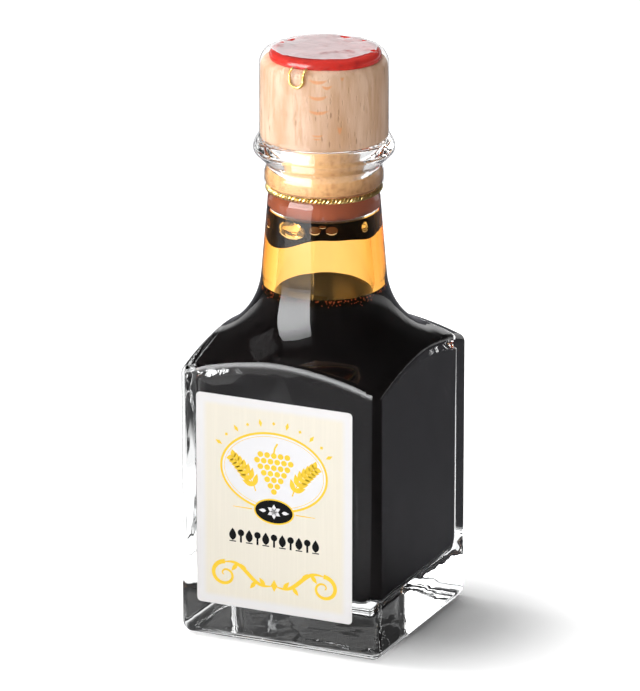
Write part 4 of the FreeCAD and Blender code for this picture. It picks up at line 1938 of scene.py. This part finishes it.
@dataclass
class PaperLabel:
    """The paper label with an ornament of its own: vines in an oval, a badge, a band and a scroll."""

    round_corner: float = 0.96
    oval_half: tuple[float, float] = (12.7, 8.9)
    oval_up: float = 8.2
    # how far the paper's face is set back for the inks
    ink_room: float = 0.03
    # the bunch: height of each row over the oval's middle and how many grapes it has
    bunch: tuple[tuple[float, int], ...] = (
        (4.4, 5), (3.0, 6), (1.6, 5), (0.2, 4), (-1.2, 3), (-2.6, 2), (-3.9, 1))
    grape_pitch: float = 1.62
    arc_marks: int = 11
    arc_out: float = 2.3
    badge_half: tuple[float, float] = (4.5, 2.6)
    badge_rim: float = 0.35
    band_up: float = -7.6
    band_marks: int = 11
    band_pitch: float = 2.0
    scroll_up: float = -17.3
    scroll_out: float = 11.9

    def build(self, finish: LabelPaper) -> list[bpy.types.Object]:
        """Make the paper and print it.

        Args:
            finish: The paper's finish.

        Returns:
            The paper and the printed pieces.
        """
        low, high = (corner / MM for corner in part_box("label"))
        shell = Shell()
        outline = []
        turn_from = ((1, 1), (-1, 1), (-1, -1), (1, -1))
        for number, (x_sign, z_sign) in enumerate(turn_from):
            corner_x = (high.x if x_sign > 0 else low.x) - x_sign * self.round_corner
            corner_z = (high.z if z_sign > 0 else low.z) - z_sign * self.round_corner
            for step in range(7):
                turn = math.pi / 2 * (number + step / 6)
                outline.append((corner_x + self.round_corner * math.cos(turn),
                                corner_z + self.round_corner * math.sin(turn)))
        face = low.y + self.ink_room
        front = [Vector((x, face, z)) for x, z in outline]
        back = [Vector((x, high.y - 0.002, z)) for x, z in outline]
        shell.grid([front, back])
        shell.cap(front)
        shell.cap(back, flip=True)
        paper = shell.piece("paper_label", [finish.build(low, high)], Slot.PAPER, crease=30)
        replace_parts(paper, "label")
        press = Press(Vector(((low.x + high.x) / 2, face, (low.z + high.z) / 2)))
        self.print_oval(press)
        self.print_arc(press)
        self.print_badge(press)
        self.print_band(press)
        self.print_scroll(press)
        return [paper, *press.pieces()]

    def print_oval(self, press: Press) -> None:
        """Print the oval with a bunch of grapes between two trees of leaves.

        Args:
            press: The press.
        """
        wide, high = self.oval_half
        up = self.oval_up
        press.fill(Ink.WHITE, press.ellipse(0, up, wide - 0.3, high - 0.3), lift=0.004)
        for inward, width in ((0.0, 0.5), (0.75, 0.12)):
            line = press.ellipse(0, up, wide - inward, high - inward, 120)
            press.stroke(Ink.GOLD, line, lambda share, width=width: width, closed=True)
        for height, count in self.bunch:
            for number in range(count):
                across = (number - (count - 1) / 2) * self.grape_pitch
                press.fill(Ink.GOLD, press.ellipse(across, up + height - 0.6, 0.7, 0.66, 20), lift=0.012)
        press.stroke(Ink.GOLD, [(0.0, up + 4.4), (0.25, up + 5.6), (0.9, up + 6.7)], lambda share: 0.4)
        for side in (-1, 1):
            self.print_spray(press, side)

    def print_spray(self, press: Press, side: int) -> None:
        """Print a spray of leaves beside the grapes.

        Args:
            press: The press.
            side: -1 for the left and 1 for the right.
        """
        up = self.oval_up
        stem = [(side * (4.4 + 5.6 * share), up - 4.9 + 7.4 * share ** 0.7)
                for share in (step / 14 for step in range(15))]
        press.stroke(Ink.GOLD, stem, lambda share: 0.3 - 0.15 * share)
        for number, (across, height) in enumerate(stem[1::2]):
            tilt = math.radians(62 - 5 * number)
            size = 3.0 - 0.18 * number
            for lean in (0.75, -0.75):
                angle = tilt + lean if side > 0 else math.pi - (tilt + lean)
                press.leaf(Ink.GOLD, across, height, size, 1.25, angle, lift=0.012)

    def print_arc(self, press: Press) -> None:
        """Print a row of small lozenges over the oval.

        Args:
            press: The press.
        """
        wide, high = self.oval_half
        for number in range(self.arc_marks):
            turn = math.radians(152 - number * 12.4)
            across = (wide + self.arc_out) * math.cos(turn)
            height = self.oval_up + (high + self.arc_out) * math.sin(turn)
            tall, thin = (0.95, 0.42) if number % 2 == 0 else (0.42, 0.42)
            lozenge = ((thin, 0), (0, tall), (-thin, 0), (0, -tall))
            press.fill(Ink.GOLD, press.tilted(lozenge, across, height, turn - math.pi / 2))

    def print_badge(self, press: Press) -> None:
        """Print the black badge on the oval's foot, a white flower on it and a gold line each side.

        Args:
            press: The press.
        """
        up = self.oval_up - self.oval_half[1] - 0.2
        wide, high = self.badge_half
        press.fill(Ink.GOLD, press.ellipse(0, up, wide + self.badge_rim, high + self.badge_rim), lift=0.014)
        press.fill(Ink.BLACK, press.ellipse(0, up, wide, high), lift=0.018)
        for number in range(6):
            press.leaf(Ink.WHITE, 0.0, up, 1.7, 0.95, math.pi * number / 3 + math.pi / 6, lift=0.022)
        for side in (-1, 1):
            press.leaf(Ink.WHITE, side * 1.9, up, 1.7, 0.8, 0.0 if side > 0 else math.pi, lift=0.022)
            line = [(side * (5.3 + 4.6 * share), up - 0.05) for share in (0.0, 0.25, 0.5, 0.75, 1.0)]
            press.stroke(Ink.GOLD, line, lambda share: 0.26 - 0.12 * share)

    def print_band(self, press: Press) -> None:
        """Print the black band of leaves and bars.

        Args:
            press: The press.
        """
        up = self.band_up
        for number in range(self.band_marks):
            across = (number - self.band_marks // 2) * self.band_pitch
            if number % 2 == 0:
                press.leaf(Ink.BLACK, across, up - 1.3, 2.9, 1.7, math.pi / 2, lift=0.012)
                half, top = 0.8, up - 1.36
            else:
                press.fill(Ink.BLACK, press.ellipse(across, up + 0.65, 0.78, 0.78, 24), lift=0.012)
                half, top = 0.24, up + 0.2
            foot = up - 1.6
            press.fill(Ink.BLACK, [(across - half, foot), (across + half, foot),
                                   (across + half, top), (across - half, top)])

    def print_scroll(self, press: Press) -> None:
        """Print the gold scroll near the foot.

        Args:
            press: The press.
        """
        up, out = self.scroll_up, self.scroll_out
        for side in (-1, 1):
            curl = []
            for step in range(60):
                share = step / 59
                turn = share * 2.6 * math.pi
                size = 2.7 * (1 - share) ** 0.8 + 0.25
                curl.append((side * (out + size * math.sin(turn) * 1.1), up + 0.2 + size * math.cos(turn)))
            press.stroke(Ink.GOLD, curl, lambda share: 0.8 * (1 - share) + 0.25, lift=0.008)
            wave = [(side * (out - 11.2 * share), up + 3.1 - 4.1 * share + math.sin(share * math.pi * 2))
                    for share in (step / 30 for step in range(31))]
            press.stroke(Ink.GOLD, wave, lambda share: 0.25 + 0.7 * math.sin(math.pi * share), lift=0.012)
            for number, share in enumerate((0.25, 0.45, 0.65, 0.85)):
                across, height = wave[round(share * 30)]
                lean = 0.9 if number % 2 else -0.9
                angle = lean if side > 0 else math.pi - lean
                press.leaf(Ink.GOLD, across, height, 2.3, 1.0, angle, lift=0.016)
        lozenge = [(0.0, up + 0.6), (0.8, up - 0.8), (0.0, up - 2.2), (-0.8, up - 0.8)]
        press.fill(Ink.GOLD, lozenge, lift=0.02)


# ---------------------------------------------------------------- the studio


@dataclass
class Studio:
    """A pale floor, a tall soft panel at the left, a bright sweep behind and the camera."""

    fill: tuple[float, float] = (0.78, 0.18)
    # the surroundings' smooth changes: from, to, first value, last value
    sky_behind: tuple[float, float, float, float] = (0.1, 0.45, 0.06, 1.0)
    sky_low: tuple[float, float, float, float] = (0.02, 0.22, 1.0, 0.0)
    sky_mirrored: tuple[float, float, float, float] = (0.0, 1.0, 0.03, 0.85)
    sky_through: tuple[float, float, float, float] = (0.05, 0.28, 1.0, 0.03)
    # the floor as seen, and as mirrored: in general, behind, and at the left in front
    floor_seen: Colour = (0.97, 0.97, 0.97)
    floor_dark: Colour = (0.06, 0.06, 0.065)
    floor_behind: Colour = (0.22, 0.22, 0.24)
    floor_left: Colour = (0.62, 0.63, 0.66)
    # the glow added to the floor as seen, fading in away from a middle beside the bottle: the shade near
    # that middle is partly painted shadow, on top of the real one
    whiten: float = 0.5
    painted_shadow_middle: tuple[float, float, float] = (24.0, 8.0, 0.0)
    painted_shadow_near: float = 8.0
    painted_shadow_far: float = 42.0
    panel: float = 10.5
    panel_foot: float = 1.3
    panel_fade: tuple[float, float] = (35.0, 140.0)
    panel_dim: tuple[float, float] = (190.0, 380.0)
    panel_dim_share: float = 0.7
    panel_turn: float = -52.0
    panel_away: float = 0.212
    panel_wide: float = 0.222
    panel_high: float = 0.40
    # turn from the front in degrees, height over the distance, size, power
    lights: tuple[tuple[float, float, float, float], ...] = (
        (-38.0, 0.22, 0.35, 3.4), (-112.0, 0.8, 0.3, 1.9), (-130.0, 3.0, 0.3, 0.75))
    light_away: float = 0.6
    floor_size: float = 3000.0
    floor_drop: float = 0.00004
    height: float = 0.0672
    away: float = 1.43143
    turn: float = 24.591
    lift: float = 17.888
    pitch: float = 18.051
    lens: float = 339.2
    aside: float = -0.0058755427

    def build(self) -> None:
        """Make the whole studio."""
        self.build_world()
        self.build_floor()
        self.build_panel()
        self.build_lights()
        self.build_camera()
        scene = bpy.context.scene
        scene.view_settings.view_transform = "Standard"
        scene.view_settings.look = "None"
        scene.cycles.max_bounces = 24
        scene.cycles.transmission_bounces = 20
        scene.cycles.glossy_bounces = 10
        scene.cycles.diffuse_bounces = 4
        scene.cycles.transparent_max_bounces = 32

    def build_world(self) -> None:
        """Make the surroundings: white as seen, softer as light, dark overhead as mirrored."""
        recipe = WorldRecipe("studio")
        rays = recipe.node("ShaderNodeLightPath")
        across, back, up = recipe.axes(recipe.node("ShaderNodeTexCoord").outputs["Generated"])
        bright = recipe.product(recipe.fade(back, *self.sky_behind), recipe.fade(up, *self.sky_low))
        mirrored = recipe.fade(bright, *self.sky_mirrored)
        filled = recipe.fade(across, -0.5, 0.8, *self.fill)
        through = recipe.fade(up, *self.sky_through)
        strength = recipe.choose(rays.outputs["Is Glossy Ray"], filled, mirrored)
        strength = recipe.choose(rays.outputs["Is Transmission Ray"], strength, through)
        strength = recipe.choose(rays.outputs["Is Camera Ray"], strength, 1.0)
        background = recipe.node("ShaderNodeBackground", Color=(1.0, 1.0, 1.0), Strength=strength)
        output = recipe.node("ShaderNodeOutputWorld")
        recipe.tree.links.new(background.outputs[0], output.inputs["Surface"])

    def build_floor(self) -> None:
        """Make the floor: white as seen, with its added glow held back beside the bottle as partly painted
        shadow, and dark as mirrored except at the left in front.
        """
        recipe = Recipe("studio_floor")
        across, back, _ = recipe.axes(recipe.place())
        turn = recipe.sum(Math.ANGLE, across, recipe.product(back, -1.0))
        left = recipe.product(recipe.fade(turn, 0.15, -0.15), recipe.fade(turn, -1.5, -1.1))
        behind = recipe.fade(recipe.sum(Math.ABSOLUTE, turn), 1.9, 2.5)
        mirrored = recipe.blend(behind, self.floor_dark, self.floor_behind)
        mirrored = recipe.blend(left, mirrored, self.floor_left)
        rays = recipe.node("ShaderNodeLightPath")
        through = rays.outputs["Is Transmission Ray"]
        glossy = recipe.product(rays.outputs["Is Glossy Ray"], recipe.sum(Math.SUBTRACT, 1.0, through))
        colour = recipe.blend(glossy, self.floor_seen, mirrored)
        # no glow near the middle beside the bottle: painted shadow on top of the real shadow
        away = recipe.distance(recipe.place(), self.painted_shadow_middle)
        far = recipe.fade(away, self.painted_shadow_near, self.painted_shadow_far)
        seen = recipe.sum(Math.MAXIMUM, rays.outputs["Is Camera Ray"], through)
        lift = recipe.product(far, self.whiten, seen)
        surface = recipe.surface(Base_Color=colour, Roughness=1.0, Emission_Color=(1.0, 1.0, 1.0),
                                 Emission_Strength=lift)
        surface.inputs["Specular IOR Level"].default_value = 0.0
        shell = Shell()
        drop = -self.floor_drop / MM
        steps = [self.floor_size * (2 * number / 24 - 1) for number in range(25)]
        shell.grid([[Vector((x, y, drop)) for x in steps] for y in steps], around=False)
        floor = shell.piece("studio_floor", [recipe.material])
        floor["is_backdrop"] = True

    def build_panel(self) -> None:
        """Make the tall soft panel that lights the bottle from the left."""
        recipe = Recipe("soft_panel")
        _, _, up = recipe.axes(recipe.place())
        dim = recipe.product(recipe.fade(up, *self.panel_dim), self.panel_dim_share)
        bright = recipe.sum(Math.SUBTRACT, recipe.fade(up, *self.panel_fade), dim)
        rise = recipe.product(bright, self.panel - self.panel_foot)
        glow = recipe.node("ShaderNodeEmission", Color=(0.98, 0.99, 1.0),
                           Strength=recipe.sum(Math.ADD, rise, self.panel_foot))
        recipe.finish(glow.outputs[0])
        angle = FRONT_TURN + math.radians(self.panel_turn)
        outward = Vector((math.cos(angle), math.sin(angle), 0.0))
        beside = Vector((0, 0, 1)).cross(outward)
        centre = outward * self.panel_away / MM
        half = self.panel_wide / MM / 2
        rows = [[centre + beside * half * side + Vector((0, 0, height * self.panel_high / MM))
                 for side in (-1.0, -0.5, 0.0, 0.5, 1.0)] for height in (0.0, 0.25, 0.5, 0.75, 1.0)]
        shell = Shell()
        shell.grid(rows, around=False)
        panel = shell.piece("soft_panel", [recipe.material])
        panel.visible_diffuse = False
        panel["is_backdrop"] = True

    def build_lights(self) -> None:
        """Make the soft lights, which are not mirrored: in front, behind and high over, all at the left."""
        for turn, rise, size, power in self.lights:
            data = bpy.data.lights.new("soft_light", "AREA")
            data.shape = "SQUARE"
            data.size = size
            data.energy = power
            light = bpy.data.objects.new("soft_light", data)
            bpy.context.scene.collection.objects.link(light)
            angle = FRONT_TURN + math.radians(turn)
            back = Vector((math.cos(angle), math.sin(angle), rise)).normalized()
            light.location = back * self.light_away + Vector((0, 0, self.height))
            light.rotation_euler = back.to_track_quat("Z", "Y").to_euler()
            light.visible_glossy = False

    def build_camera(self) -> None:
        """Make the camera."""
        data = bpy.data.cameras.new("camera")
        camera = bpy.data.objects.new("camera", data)
        bpy.context.scene.collection.objects.link(camera)
        turn, lift = math.radians(self.turn), math.radians(self.lift)
        back = Vector((math.sin(turn) * math.cos(lift), -math.cos(turn) * math.cos(lift), math.sin(lift)))
        camera.location = Vector((0.0, 0.0, self.height)) + back * self.away
        camera.rotation_euler = (math.radians(90.0 - self.pitch), 0.0, turn)
        data.lens = self.lens
        data.sensor_width = 36.0
        data.shift_x = self.aside
        data.clip_start = 0.05
        data.clip_end = 50.0
        bpy.context.scene.camera = camera


# ---------------------------------------------------------------- putting it together


def write_size(key: str, sizes: dict[str, list[list[float]]]) -> None:
    """Note the shown object's lowest and highest corner.

    Args:
        key: Under what name they are noted.
        sizes: What has been noted so far.
    """
    sizes[key] = [list(corner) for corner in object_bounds()]


def main() -> None:
    """Build every piece round the part's frame."""
    logging.basicConfig(level=logging.INFO, format="%(name)s: %(message)s")
    sizes: dict[str, list[list[float]]] = {}
    write_size("cad", sizes)
    bottle = GlassBottle(Glass())
    dark = DarkVinegar()
    made = [Vinegar(bottle).build(dark)]
    residue = NeckResidue(bottle)
    made.append(residue.build_film(AmberStain().build()))
    made.append(residue.build_ring(dark))
    skin = Plain("bubble_skin", (1.0, 0.96, 0.9), 0.0, clear=1.0, bend=1.25)
    made.append(residue.build_bubbles(skin.build()))
    # the bubbles' rims take a pale painted highlight
    made.append(residue.build_shut_bubbles(Plain("bubble_dark", (0.09, 0.028, 0.012), 0.1).build(),
                                           Plain("bubble_painted_highlight", (0.95, 0.86, 0.78), 0.3).build()))
    made.append(residue.build_beads(Plain("froth", (0.42, 0.10, 0.05), 0.12).build()))
    stopper = Stopper()
    made.append(stopper.build_head(Beech()))
    made.append(stopper.build_stem(Cork()))
    made.append(WaxSeal().build(RedWax()))
    thread = GoldThread().build()
    cord = GoldCord()
    made.append(cord.build_ring(thread))
    made.append(cord.build_loop(thread))
    made.append(ShrinkFilm().build(ClearFilm()))
    made.extend(PaperLabel().build(LabelPaper()))
    for piece in made:
        LOG.info("%s: %d faces", piece.name, len(piece.data.polygons))
    Studio().build()
    write_size("shown", sizes)


if __name__ == "__main__":
    main()
